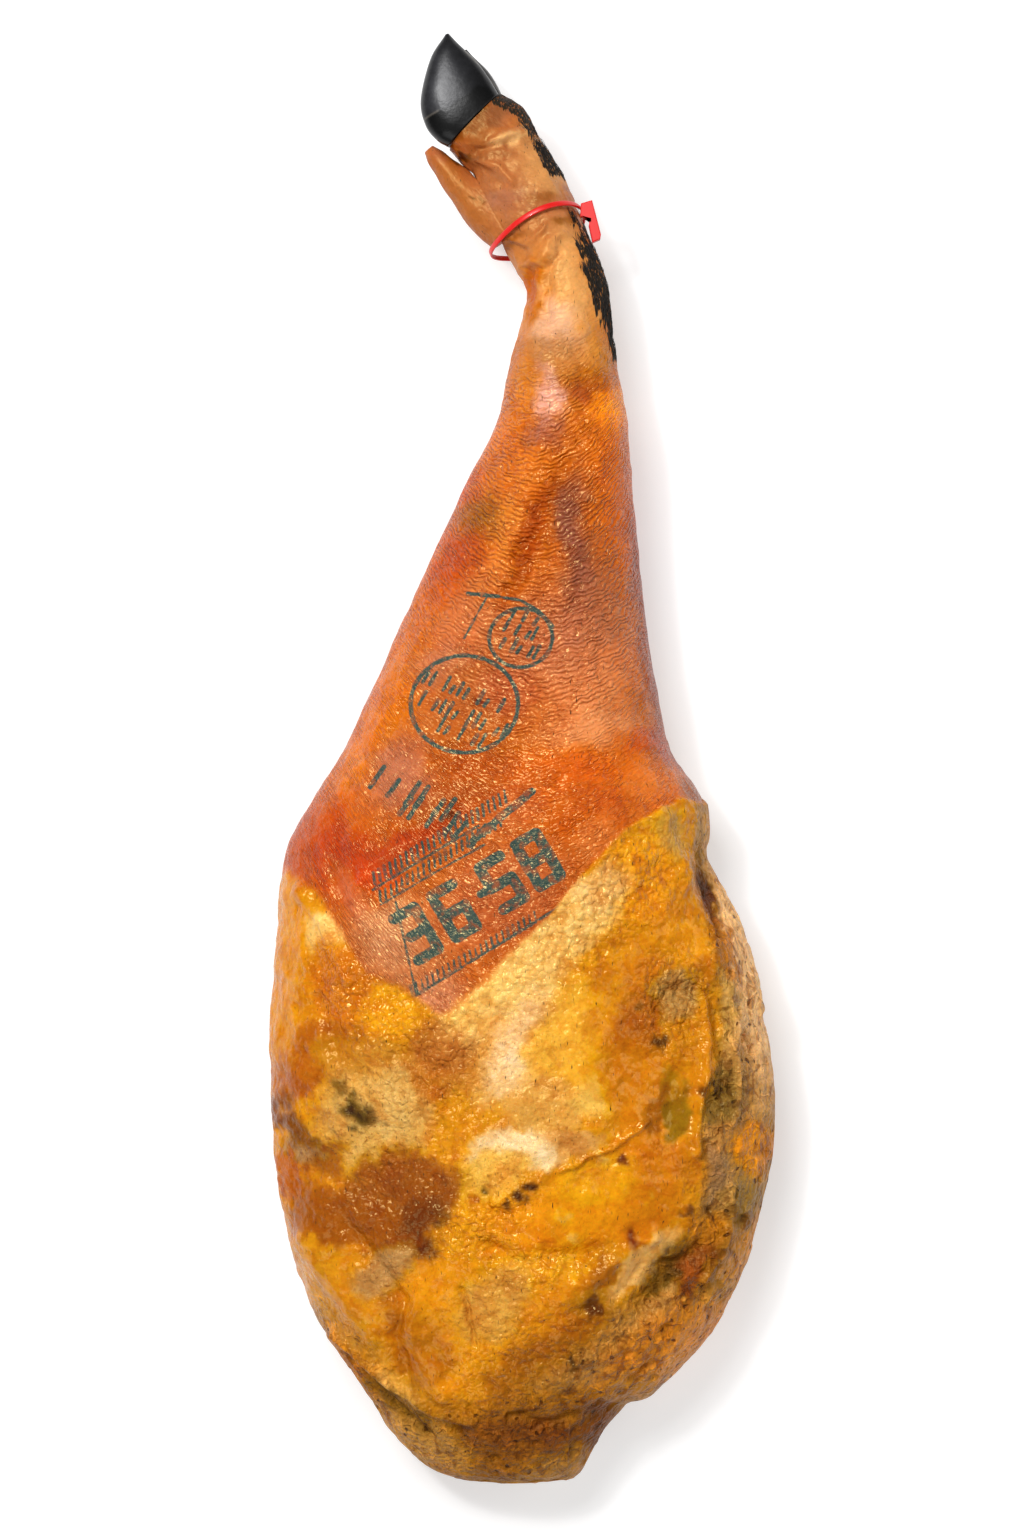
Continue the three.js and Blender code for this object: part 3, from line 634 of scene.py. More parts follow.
def surface_colours(points):
    """The whole surface's colour, linear, with the shares of fat, lean and bristles."""
    fat, lean, hair, _ = zones(points)

    # The patches' edges wander over 26, 7 and 3 mm.
    wide = np.stack([rough_noise(points, 26, 71), rough_noise(points, 26, 72)], -1)
    fine = np.stack([rough_noise(points, 7, 73), rough_noise(points, 7, 74)], -1)
    finest = np.stack([noise(points, 3.2, 79), noise(points, 3.2, 80)], -1)
    bent = points[..., :2] + (4.5 + 2 * fat[..., None]) * wide + 3.6 * fine + 1.5 * finest
    x, y = bent[..., 0], bent[..., 1]
    base = srgb(RIND_COLOUR)
    colour = base + RIND_CONTRAST * (painted(x, y, RIND_COLOUR, RIND_PATCHES_AND_PAINTED_LIGHT, RIND_CRISP) - base)
    colour += fat[..., None] * (painted(x, y, FAT_COLOUR, FAT_PATCHES_AND_HIGHLIGHT, FAT_CRISP) - colour)
    lean_colour = painted(x, y, LEAN_COLOUR, LEAN_PATCHES, LEAN_CRISP)
    colour += lean[..., None] * (lean_colour - colour)
    px = points[..., 0] + 1.4 * noise(points, 2.6, 75) + 3 * noise(points, 5, 77)
    py = points[..., 1] + 1.4 * noise(points, 2.6, 76) + 3 * noise(points, 5, 78)
    for cx, cy, half_x, half_y, code, strength in SPECKS:
        share = strength * blob(px, py, cx, cy, half_x, half_y, 0, 4) * (points[..., 2] > 40)
        colour += share[..., None] * (srgb(code) - colour)
    linear = to_linear(np.clip(colour, 0, 1)) * DEEPER - HAZE
    ruddy = (1 - fat) * smooth_step(points[..., 1], 215, 165)
    linear *= 1 + (RUDDY - 1) * ruddy[..., None]
    linear *= 1 + (FOOT_SHADE - 1) * smooth_step(points[..., 1], 185, 220)[..., None]
    return np.maximum(linear, DARKEST), fat, lean, hair


# Worn ink stamps with plain marks: strokes as half width and points, in mm.
BLOCK_DIGITS = {
    "3": [[(0, 4), (2, 4), (2, 0), (0, 0)], [(0.5, 2), (2, 2)]],
    "6": [[(2, 4), (0, 4), (0, 0), (2, 0), (2, 2), (0, 2)]],
    "5": [[(2, 4), (0, 4), (0, 2), (2, 2), (2, 0), (0, 0)]],
    "8": [[(0, 0), (0, 4), (2, 4), (2, 0), (0, 0)], [(0, 2), (2, 2)]],
}


def turned(points, start, turn, size=1.0):
    """Points of a mark's own small plane, laid on the skin at a place, turned and sized."""
    lean = math.radians(turn)
    u, v = np.array(points, float).T * size
    ahead = start[0] + u * math.cos(lean) - v * math.sin(lean)
    return np.stack([ahead, start[1] + u * math.sin(lean) + v * math.cos(lean)], -1).tolist()


def oval_line(centre, half_x, half_y, turn):
    """A closed oval as a line of 33 points."""
    angle = np.linspace(0, 2 * np.pi, 33)
    return turned(np.stack([half_x * np.cos(angle), half_y * np.sin(angle)], -1), centre, turn)


def bar_row(start, turn, pattern, step, tall, lean):
    """A row of short upright bars; the pattern gives each one's height as a digit."""
    bars = []
    for i, mark in enumerate(pattern):
        if mark != " ":
            top = tall * int(mark) / 4
            bars.append(turned([(i * step, 0), (i * step + lean, top)], start, turn))
    return bars


def ink_strokes():
    """Every stroke of the stamps: two rings, a T, rows of bars, and a framed number."""
    strokes = [(1.0, oval_line((-1, 65), 16.8, 15.6, 10)), (1.15, oval_line((-31, 30), 28.6, 25.8, 0))]
    strokes += [(1.1, [(-29, 89), (-21, 88), (-12, 87)]), (0.6, [(-19, 87), (-24, 78), (-31, 65)])]
    strokes += [(0.8, [(-12, 87), (-1, 85), (9, 79), (16, 71)])]
    for start, pattern in (((-12, 60), "3 42 34"), ((-10, 69), "4 3 24"), ((-6, 76), "3 4 2")):
        strokes += [(1.0, bar) for bar in bar_row(start, -18, pattern, 3.1, 7, 1.2)]
    large_ring = (((-53, 42), "34 4243 42 4"), ((-55, 30), "4 3442 443 24"), ((-45, 16), "42 4 34"))
    for start, pattern in large_ring:
        strokes += [(1.0, bar) for bar in bar_row(start, -22, pattern, 3.9, 7.5, 1.0)]
    for start, pattern in (((-81, -14), "4 3 44 34"), ((-65, -28), "34 4 43 4")):
        strokes += [(1.3, bar) for bar in bar_row(start, -24, pattern, 5.2, 13, 2.4)]
    hatch = "4" * 25
    strokes += [(0.75, bar) for bar in bar_row((-78, -65), 32, hatch, 3.4, 5.6, 2.4)]
    strokes += [(0.75, bar) for bar in bar_row((-75, -74), 32, hatch[:23], 3.4, 4.6, 2.4)]
    strokes += [(0.6, bar) for bar in bar_row((-58, -124), 31, hatch[:24], 3.3, 5.4, 2.0)]
    strokes += [(0.7, [(-57, -124), (20, -76)]), (0.6, [(-67, -74), (-56, -123)])]
    for digit, start in (("3", (-55, -105)), ("6", (-35, -93)), ("5", (-10, -78)), ("8", (9, -66))):
        for line in BLOCK_DIGITS[digit]:
            strokes.append((2.9, turned(line, start, 31, 6.3)))
    strokes.append((2.2, turned([(0, 0), (4, 0)], (-22, -70), 31)))
    strokes.append((2.0, [(-26, -42), (-12, -30), (5, -16)]))
    strokes += [(0.7, [(-79, -68), (-50, -50), (-23, -34)]), (0.6, [(-75, -76), (-45, -58), (-20, -44)])]
    return strokes


def ink_distance(points):
    """The distance in mm to the edge of the nearest ink stroke, negative inside it."""
    x, y, z = np.moveaxis(points, -1, 0)
    field = np.full(np.shape(x), 9.0)
    near = (y > -134) & (y < 98) & (x > -93) & (x < 36) & (z > 40)
    px, py = x[near], y[near]
    best = np.full(np.shape(px), 9.0)
    for half, line in ink_strokes():
        best = np.minimum(best, to_line(px, py, line) - half)
    field[near] = best
    return field


def wrinkle_fields(points):
    """The phase in mm across the rind's fine wrinkles, and how strong they are."""
    x, y = points[..., 0], points[..., 1]
    bow = 0.007 + 0.008 * smooth_step(y, 60, 170)
    phase = y - bow * (x - 7) ** 2
    strong = blob(x, y, 20, 141, 46, 65, 0, 3) + 0.75 * blob(x, y, 26, 65, 43, 43, 0, 3)
    strong = strong + 0.5 * blob(x, y, -39, 109, 32, 49, -20, 3)
    strong = strong + 0.4 * blob(x, y, -66, -102, 27, 27, 0, 4) + 0.35 * blob(x, y, -12, 1, 76, 65, 0, 3)
    return phase, np.clip(strong, 0, 1)


def tube_distance(points, rows):
    """The distance to a tube of oval sections, negative inside, by the section most abreast."""
    x, y, z = np.moveaxis(points, -1, 0)
    abreast = np.full(np.shape(x), 1e9)
    distance = np.full(np.shape(x), 1e9)
    for row in rows:
        across, ahead = offsets(x, y, row[0], row[1], row[2])
        ahead = np.abs(ahead)
        up = z - row[5]
        half_wide, half_tall = np.where(across > 0, row[4], row[3]), np.where(up > 0, row[6], row[7])
        reach = np.hypot(across / half_wide, up / half_tall)
        away = np.hypot(across, up) * (1 - 1 / np.maximum(reach, 0.01))
        away = np.where(ahead > 3, np.hypot(np.maximum(away, 0), ahead), away)
        nearer = ahead < abreast
        abreast = np.where(nearer, ahead, abreast)
        distance = np.where(nearer, away, distance)
    return distance


def side_claw_rows(share):
    """Section rows of the side claw, like those of the leg."""
    along = along_knots(SIDE_CLAW[:, :2])
    x, y, half, thick = smooth_through(along / along[-1], SIDE_CLAW, np.asarray(share, float)).T
    same = np.ones(np.shape(x))
    turn, mid, full = SIDE_CLAW_TURN * same, SIDE_CLAW_MID * same, 2 * same
    return np.stack([x, y, turn, half, half, mid, thick, thick, full], -1)


# How near to each other, in mm, two parts of the skin start to run together.
WEB = 5.0
# The grids of the side claw and of the hoof claws.
CLAW_ROWS, CLAW_COLUMNS = 90, 120


def web(points, rows):
    """How far the skin rises where two rounded parts meet: most on the line between them."""
    return np.maximum(WEB - np.abs(tube_distance(points, rows)), 0) ** 2 / (4 * WEB)


def new_object(name, points, faces, material, normals=None):
    """A smooth mesh object at the origin, from points in mm."""
    mesh = bpy.data.meshes.new(name)
    mesh.from_pydata((np.asarray(points).reshape(-1, 3) * MM).tolist(), [], faces)
    mesh.shade_smooth()
    mesh.update()
    if normals is not None:
        mesh.normals_split_custom_set_from_vertices(np.asarray(normals).reshape(-1, 3).tolist())
    piece = bpy.data.objects.new(name, mesh)
    bpy.context.collection.objects.link(piece)
    mesh.materials.append(material)
    return piece


def add_attribute(piece, name, values):
    """A value or a colour at each vertex, for the materials to read."""
    values = np.asarray(values, np.float32)
    if values.ndim == 1:
        piece.data.attributes.new(name, "FLOAT", "POINT").data.foreach_set("value", values)
        return
    rgba = np.concatenate([values, np.ones((len(values), 1), np.float32)], axis=1)
    piece.data.attributes.new(name, "FLOAT_COLOR", "POINT").data.foreach_set("color", rgba.ravel())


def ring_faces(rows, columns):
    """Quads between neighbouring rings of points, facing out."""
    i, j = np.meshgrid(np.arange(rows - 1), np.arange(columns), indexing="ij")
    here, beside = i * columns + j, i * columns + (j + 1) % columns
    return np.stack([here, here + columns, beside + columns, beside], -1).reshape(-1, 4).tolist()


def closed_rings(points):
    """Rings of points with a middle point at each end: all points, and the faces."""
    rows, columns = points.shape[:2]
    flat = points.reshape(-1, 3)
    ends = np.stack([points[0].mean(0), points[-1].mean(0)])
    first, last = np.arange(columns), np.arange(columns) + (rows - 1) * columns
    low, high = rows * columns, rows * columns + 1
    faces = ring_faces(rows, columns)
    faces += [[low, a, b] for a, b in zip(first.tolist(), np.roll(first, -1).tolist())]
    faces += [[high, b, a] for a, b in zip(last.tolist(), np.roll(last, -1).tolist())]
    return np.concatenate([flat, ends]), faces


def dress(piece, points, normals):
    """The skin's attributes at each point: colour, zones, wrinkles and ink."""
    add_attribute(piece, "facing_up", np.maximum(normals[:, 2], 0))
    colour, fat, lean, hair = surface_colours(points)
    phase, strong = wrinkle_fields(points)
    add_attribute(piece, "tint", colour)
    add_attribute(piece, "zone", np.stack([fat, lean, hair], -1))
    add_attribute(piece, "phase", phase)
    add_attribute(piece, "wrinkle", strong)
    add_attribute(piece, "ink", ink_distance(points))
    finish = [marked(points, WAXY, 91), marked(points, MOULDY, 93), marked(points, RIPPLED, 57)]
    add_attribute(piece, "finish", np.stack(finish, -1))


def add_node(tree, kind, values=(), **settings):
    """A node with its settings; each input gets a plain value or a link."""
    made = tree.nodes.new(kind)
    for name, value in settings.items():
        setattr(made, name, value)
    for name, value in dict(values).items():
        if isinstance(value, bpy.types.NodeSocket):
            tree.links.new(value, made.inputs[name])
        else:
            made.inputs[name].default_value = value
    return made


def reckon(tree, operation, first, second=0.0, third=0.0):
    """The output of one Math node."""
    made = add_node(tree, "ShaderNodeMath", {0: first, 1: second, 2: third}, operation=operation)
    return made.outputs[0]


def reckon_vectors(tree, operation, values):
    """The output of one Vector Math node."""
    return add_node(tree, "ShaderNodeVectorMath", values, operation=operation).outputs[0]


def set_inputs(node, values):
    """Plain values for a node's inputs, by their names."""
    for name, value in values.items():
        node.inputs[name].default_value = value


def new_material(name):
    """A material with a Principled shader: the material, its tree and the shader."""
    material = bpy.data.materials.new(name)
    material.use_nodes = True
    tree = material.node_tree
    return material, tree, tree.nodes["Principled BSDF"]


def read_attribute(tree, name, output="Fac"):
    """A value or a colour that add_attribute has left on the mesh."""
    return add_node(tree, "ShaderNodeAttribute", attribute_name=name).outputs[output]


def in_millimetres(tree, stretch=(1, 1, 1)):
    """The object's own coordinates in mm, squeezed by the given factors."""
    place = add_node(tree, "ShaderNodeTexCoord").outputs["Object"]
    scale = [factor / MM for factor in stretch]
    return reckon_vectors(tree, "MULTIPLY", {0: place, 1: scale})


def noise_of(tree, place, size, detail, distortion=0.0):
    """Noise around zero, from about -0.5 to 0.5, with features of the given size in mm."""
    values = {"Vector": place, "Scale": 1 / size, "Detail": detail, "Distortion": distortion}
    made = add_node(tree, "ShaderNodeTexNoise", values)
    return reckon(tree, "SUBTRACT", made.outputs[0], 0.5)


def cells_of(tree, place, size, feature="F1"):
    """Distance within uneven cells of the given size in mm, from their middle or their edge."""
    values = {"Vector": place, "Scale": 1 / size}
    return add_node(tree, "ShaderNodeTexVoronoi", values, feature=feature).outputs["Distance"]


def scaled_sum(tree, parts):
    """The sum of socket times factor over all parts; a factor may be a socket too."""
    total = None
    for socket, factor in parts:
        if total is None:
            total = reckon(tree, "MULTIPLY", socket, factor)
        else:
            total = reckon(tree, "MULTIPLY_ADD", socket, factor, total)
    return total


def times(tree, first, second):
    """The product of two sockets or numbers."""
    return reckon(tree, "MULTIPLY", first, second)


def mixed(tree, share, first, second):
    """One colour laid over another by a share."""
    made = add_node(tree, "ShaderNodeMix", data_type="RGBA")
    colours = [s for s in made.inputs if s.type == "RGBA"]
    for socket, value in ((made.inputs[0], share), (colours[0], first), (colours[1], second)):
        if isinstance(value, bpy.types.NodeSocket):
            tree.links.new(value, socket)
        else:
            socket.default_value = value
    return [s for s in made.outputs if s.type == "RGBA"][0]


def between(tree, value, low, high, start=0.0, end=1.0):
    """A smooth step of a value from one range to another."""
    names = {"Value": value, "From Min": low, "From Max": high, "To Min": start, "To Max": end}
    made = add_node(tree, "ShaderNodeMapRange", names, interpolation_type="SMOOTHSTEP")
    return made.outputs[0]


def skin_material():
    """Rind, fat and lean of a cured ham: waxy and oily, wrinkled, rippled or fibrous by zone."""
    material, tree, shader = new_material("cured_skin")
    place = in_millimetres(tree)
    zone = add_node(tree, "ShaderNodeSeparateColor", {0: read_attribute(tree, "zone", "Color")})
    fat, lean, hair = zone.outputs
    finish = add_node(tree, "ShaderNodeSeparateColor", {0: read_attribute(tree, "finish", "Color")})
    waxy, mouldy, rippled = finish.outputs
    rind = reckon(tree, "SUBTRACT", 1, reckon(tree, "MAXIMUM", fat, lean))
    soft_fat = times(tree, fat, reckon(tree, "SUBTRACT", 1, lean))
    wrinkle = times(tree, rind, read_attribute(tree, "wrinkle"))
    phase = read_attribute(tree, "phase")

    # Mottling of 14, 5 and 1.7 mm; fibres 1.6 mm wide and 14 mm long; crumbs of 2.2 mm.
    wide, middle, fine = [noise_of(tree, place, *kind) for kind in ((14, 3), (5, 1.5), (1.7, 1))]
    fibre = noise_of(tree, in_millimetres(tree, (1, 0.11, 1)), 1.6, 1)
    streak = noise_of(tree, in_millimetres(tree, (1, 0.16, 1)), 0.9, 1)
    crumb = noise_of(tree, place, 2.2, 1)

    # Domes of 3.4 mm on rippled fat; cords between cells of 9 mm and pits 2 mm wide on lean.
    swirl = add_node(tree, "ShaderNodeTexNoise", {"Vector": place, "Scale": 1 / 5, "Detail": 1})
    bent = reckon_vectors(tree, "MULTIPLY_ADD", {0: swirl.outputs[1], 1: (5, 5, 5), 2: place})
    dome = cells_of(tree, bent, 3.4)
    somewhere = between(tree, noise_of(tree, place, 11, 2), -0.02, 0.08)
    cord = between(tree, cells_of(tree, bent, 9, "DISTANCE_TO_EDGE"), 0.03, 0.13, 1, 0)
    cord = times(tree, cord, times(tree, somewhere, lean))
    pit = between(tree, cells_of(tree, bent, 7), 0.1, 0.24, 1, 0)
    pit = times(tree, pit, between(tree, noise_of(tree, place, 9, 2), 0.04, -0.04))

    # Wrinkles 2.8 mm apart on arcs, broken up by noise, over leathery creases 2.4 mm wide.
    bend = noise_of(tree, place, 8, 2)
    wave = times(tree, reckon(tree, "MULTIPLY_ADD", bend, 9, phase), math.pi / 2.8)
    patchy = reckon(tree, "MULTIPLY_ADD", noise_of(tree, place, 6, 2), 2.4, 0.8)
    patchy = times(tree, wrinkle, reckon(tree, "MAXIMUM", patchy, 0))
    arch = reckon(tree, "MULTIPLY_ADD", reckon(tree, "ABSOLUTE", reckon(tree, "SINE", wave)), 2, -1)
    ridge = times(tree, arch, patchy)
    axes = add_node(tree, "ShaderNodeSeparateXYZ", {0: place}).outputs
    across = add_node(tree, "ShaderNodeCombineXYZ", {0: times(tree, axes[0], 0.55), 1: phase})
    leather = noise_of(tree, across.outputs[0], 2.4, 1, 0.4)
    crease = reckon(tree, "MINIMUM", times(tree, reckon(tree, "ABSOLUTE", leather), 8), 1)

    # Creases come in patches, and are weaker on the foot, above y 190.
    calm = between(tree, axes[1], 190, 235, 0, 1)
    foot = reckon(tree, "MULTIPLY_ADD", calm, -0.8, 1)
    foot = times(tree, foot, between(tree, noise_of(tree, place, 13, 2), -0.1, 0.08, 0.3, 1))
    furrow = times(tree, times(tree, rind, foot), reckon(tree, "SUBTRACT", 1, crease))

    # The finest relief, in mm, of rind, fat, lean and bristles.
    dry = reckon(tree, "MULTIPLY_ADD", waxy, -0.6, 1)
    calmer = reckon(tree, "MULTIPLY_ADD", calm, -0.45, 1)
    height = scaled_sum(tree, [
        (ridge, 0.42), (furrow, -0.42), (fine, 0.08),
        (times(tree, times(tree, middle, rind), calmer), 1.1),
        (times(tree, crumb, mouldy), 0.8), (times(tree, dome, mouldy), -0.9),
        (times(tree, dome, rippled), -1.5), (times(tree, fibre, lean), 0.5),
        (times(tree, middle, lean), 2.2), (times(tree, crumb, lean), 1.1),
        (cord, 0.7), (times(tree, pit, lean), -1.1),
        (times(tree, times(tree, middle, soft_fat), dry), 1.5), (times(tree, streak, hair), 1.0),
    ])
    bump = add_node(tree, "ShaderNodeBump", {"Height": height, "Distance": MM, "Strength": 1.0})

    def share_of(value, low, high, most, *where):
        """A share that rises to its most as the value goes from low to high, inside zones."""
        share = between(tree, value, low, high, 0, most)
        for zone_share in where:
            share = times(tree, share, zone_share)
        return share

    # Each step multiplies the colour by three factors, as far as its share says.
    blotch = noise_of(tree, place, 7, 7, 0.7)
    patches = noise_of(tree, in_millimetres(tree, (1, 0.7, 1)), 7, 6, 0.8)
    grainy = reckon(tree, "MULTIPLY_ADD", mouldy, 0.75, 0.2)
    pitted = reckon(tree, "MULTIPLY_ADD", fat, 0.15, lean)
    steps = [
        # Warm clouds of 22 mm, painted shade in the furrows, and wrinkles with painted highlights on
        # their tops and painted shade at their feet.
        (share_of(noise_of(tree, place, 22, 3), 0, 0.22, 0.5), (0.94, 0.74, 0.5)),
        (times(tree, furrow, 0.65), (0.68, 0.42, 0.25)),
        (share_of(ridge, 0, 0.9, 0.6), (1.25, 1.5, 2.0)),
        (share_of(ridge, 0, -0.9, 0.7), (0.7, 0.5, 0.35)),
        # Stains on fat that isn't waxy, and a pale bloom on mouldy fat.
        (share_of(noise_of(tree, place, 15, 7, 0.5), 0.02, 0.13, 0.6, soft_fat, dry), (0.74, 0.52, 0.3)),
        (share_of(noise_of(tree, place, 9, 6, 0.3), 0.04, 0.14, 0.5, mouldy), (1.2, 1.22, 1.3)),
        # Brown and pale blotches of 7 mm on fat, and brown painted shade between the domes of rippled
        # fat.
        (share_of(blotch, 0.03, 0.07, 0.45, soft_fat), (0.86, 0.68, 0.45)),
        (share_of(blotch, -0.05, -0.1, 0.5, soft_fat), (1.1, 1.18, 1.4)),
        (share_of(dome, 0.45, 0.75, 0.7, rippled), (0.84, 0.68, 0.45)),
        # Dark grains on fat, most of them where it is mouldy.
        (share_of(crumb, 0.13, 0.22, 0.7, grainy, fat), (0.5, 0.36, 0.3)),
        # Dark and pale patches and pale cords on lean, and dark painted shade in its pits.
        (share_of(patches, 0.03, 0.13, 0.8, lean), (0.5, 0.36, 0.22)),
        (share_of(patches, -0.04, -0.13, 0.8, lean), (1.35, 1.35, 1.4)),
        (times(tree, cord, 0.8), (1.4, 1.4, 1.5)),
        (times(tree, pit, pitted), (0.3, 0.2, 0.15)),
    ]
    colour = read_attribute(tree, "tint", "Color")
    for share, factors in steps:
        other = reckon_vectors(tree, "MULTIPLY", {0: colour, 1: factors})
        colour = mixed(tree, share, colour, other)
    light = scaled_sum(tree, [(wide, 0.3), (middle, 0.25), (fine, 0.3), (times(tree, fibre, lean), 0.3)])
    light = reckon(tree, "ADD", light, 1)
    colour = reckon_vectors(tree, "SCALE", {0: colour, "Scale": light})

    # Black bristle ends, then worn blue-green ink on the rind.
    streaks = between(tree, reckon(tree, "MULTIPLY_ADD", streak, 2.4, hair), 0.4, 0.8)
    colour = mixed(tree, streaks, colour, lin("#211a16"))
    ink = reckon(tree, "MULTIPLY_ADD", middle, 1.8, read_attribute(tree, "ink"))
    worn = between(tree, noise_of(tree, place, 5, 5), -0.18, 0.02, 0.4, 0.95)
    on_rind = times(tree, worn, reckon(tree, "SUBTRACT", 1, fat))
    stamped = times(tree, between(tree, ink, 0.4, -0.3), on_rind)
    colour = mixed(tree, stamped, colour, lin("#1d4c4a"))

    # Waxy fat is the smoothest and oiliest, mouldy fat and bristles are the dullest.
    rough = [(middle, 0.25), (waxy, -0.07), (mouldy, 0.2), (lean, 0.14), (hair, 0.25), (calm, 0.14)]
    rough = reckon(tree, "ADD", scaled_sum(tree, rough), 0.25)
    tree.links.new(colour, shader.inputs["Base Color"])
    tree.links.new(rough, shader.inputs["Roughness"])
    tree.links.new(bump.outputs[0], shader.inputs["Normal"])

    # Gloss is warm, and fades on steep sides and on the foot.
    oily = scaled_sum(tree, [(rind, 0.1), (waxy, 0.15), (mouldy, -0.15), (lean, -0.1), (hair, -0.3)])
    oily = reckon(tree, "ADD", oily, 0.5)
    upward = between(tree, read_attribute(tree, "facing_up"), 0.1, 0.8, 0.1, 1)
    upward = times(tree, upward, between(tree, axes[1], 190, 235, 1, 0.7))
    tree.links.new(times(tree, oily, upward), shader.inputs["Specular IOR Level"])
    set_inputs(shader, {
        "Specular Tint": (1.0, 0.75, 0.3, 1.0), "Subsurface Weight": 0.2,
        "Subsurface Radius": (1.0, 0.4, 0.12), "Subsurface Scale": 4 * MM,
    })
    return material


def horn_material():
    """Hoof horn: dark, smooth and waxy, with a faint grain of 3 mm."""
    material, tree, shader = new_material("hoof_horn")
    place = in_millimetres(tree)
    grain = noise_of(tree, place, 3, 3)
    light = reckon(tree, "MULTIPLY_ADD", grain, 1.2, 1)
    tint = read_attribute(tree, "tint", "Color")
    scaled = reckon_vectors(tree, "SCALE", {0: tint, "Scale": light})
    bump = add_node(tree, "ShaderNodeBump", {"Height": times(tree, grain, 0.12), "Distance": MM})
    tree.links.new(scaled, shader.inputs["Base Color"])
    tree.links.new(bump.outputs[0], shader.inputs["Normal"])
    set_inputs(shader, {"Roughness": 0.32, "Specular IOR Level": 0.28})
    return material


def plain_material(name, code, rough, coat):
    """One even colour with its roughness and the weight of its clear coat."""
    material, _, shader = new_material(name)
    set_inputs(shader, {"Base Color": lin(code), "Roughness": rough, "Coat Weight": coat})
    return material


SKIN = skin_material()
HORN = horn_material()
SEAL_PLASTIC = plain_material("seal_plastic", "#d80f08", 0.4, 0.1)
BRISTLE = plain_material("bristle", "#19130f", 0.5, 0.0)

# The leg's pieces: name, its first and last y, and the number of rows.
LEG_PIECES = [
    ("leg_butt", -388, -262, 106), ("leg_thigh_low", -262, -118, 124),
    ("leg_thigh_high", -118, -12, 128), ("leg_rind", -12, 95, 130),
    ("leg_shank", 95, 205, 122), ("leg_foot", 205, 342.9, 176),
]
LEG_COLUMNS, SHARE_STEPS = 640, 4001
# The columns stand closer on the upper side, by this much of an angle.
UPPER_DENSITY = 0.4
# The rounded butt end: its rows, and how far it bulges.
END_ROWS, END_BULGE = 22, 2.2
# The relief is eased off over these limits, so that the skin stays inside the solid's box.
RIGHT_EASED, TOP_EASED, ENDS = (133, 137.9), (101, 106.3), (-390.3, 389)
# The side claw runs into the skin above this y.
CLAW_ROOT = 262
# Pieces from this y on are slim enough for half of the columns.
SLIM_FROM = 95


def leg_grid(thin):
    """The whole leg's points, normals and the row where each piece starts."""
    shares = np.linspace(0, 1, SHARE_STEPS)
    y_of = leg_rows(shares)[:, 1]
    marks, stops = [], [END_ROWS]
    for _, low, high, rows in LEG_PIECES:
        marks.append(np.linspace(low, high, rows // thin, endpoint=False))
        stops.append(stops[-1] + rows // thin)
    marks = np.concatenate(marks + [[LEG_PIECES[-1][2]]])
    share = np.interp(marks, y_of, shares)
    u = np.arange(LEG_COLUMNS // thin) / (LEG_COLUMNS // thin)
    angle = 2 * np.pi * u + UPPER_DENSITY * np.cos(2 * np.pi * u)
    rows = leg_rows(share)[:, None, :]
    points = section_points(rows, angle[None, :])
    height = lump_height(points[..., 0], points[..., 1]) * np.sqrt(np.maximum(np.sin(angle), 0))
    points[..., 0] += height * np.cos(angle)
    points[..., 2] += height * np.sin(angle)

    # The butt end closes over a quarter turn, from a small ring to the first section.
    first = points[0]
    middle = first.mean(0)
    close = np.linspace(np.pi / 2, 0, END_ROWS, endpoint=False)[:, None, None]
    end = middle + (first - middle) * np.cos(close)
    end[..., 1] -= END_BULGE * np.sin(close[..., 0])
    end[0] = middle + (first - middle) * 0.03 - [0, END_BULGE, 0]
    points = np.concatenate([end, points])

    # Relief and the web to the side claw stand on the smooth form.
    normals = ring_normals(points)
    claw = points[..., 1] > CLAW_ROOT
    swell = np.zeros(points.shape[:2])
    swell[claw] = web(points[claw], side_claw_rows(np.linspace(0, 1, 30)))
    points = points + normals * (relief(points) + swell)[..., None]
    points[..., 0] = eased(points[..., 0], *RIGHT_EASED)
    points[..., 2] = np.maximum(eased(points[..., 2], *TOP_EASED), 0)
    points[..., 1] = np.clip(points[..., 1], *ENDS)
    return points, ring_normals(points), stops


def put_leg():
    """The leg in six closed pieces that share their border rings and normals."""
    thin = 1
    points, normals, stops = leg_grid(thin)
    stops[0] = 0
    for (name, low, _, _), start, stop in zip(LEG_PIECES, stops[:-1], stops[1:]):
        step = 2 if low >= SLIM_FROM else 1
        part = points[start:stop + 1, ::step]
        facing = normals[start:stop + 1, ::step]
        flat, faces = closed_rings(part)
        ends = unit(np.stack([facing[0].mean(0), facing[-1].mean(0)]) + [[0, -1, 0], [0, 1, 0]])
        every = np.concatenate([facing.reshape(-1, 3), ends])
        piece = new_object(name, flat, faces, SKIN, every)
        dress(piece, flat, every)
        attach(piece, "root")
        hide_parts("ham")
    return points, normals


def put_side_claw():
    """The side claw, a flap that grows out of the ankle and ends in a blunt toe."""
    share = np.linspace(0, 1, CLAW_ROWS)
    angle = whole_turn(CLAW_COLUMNS)
    points = section_points(side_claw_rows(share)[:, None, :], angle[None, :])
    normals = ring_normals(points)
    swell = web(points, leg_rows(np.linspace(0.8, 1, 50))) * smooth_step(1 - share, 0.1, 0.4)[:, None]
    points = points + normals * (0.6 * relief(points) + swell)[..., None]
    flat, faces = closed_rings(points)
    piece = new_object("side_claw", flat, faces, SKIN)
    dress(piece, flat, np.concatenate([normals.reshape(-1, 3), [[0, 0, 0], [0, 0, 0]]]))
    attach(piece, "root")
    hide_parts("ham")
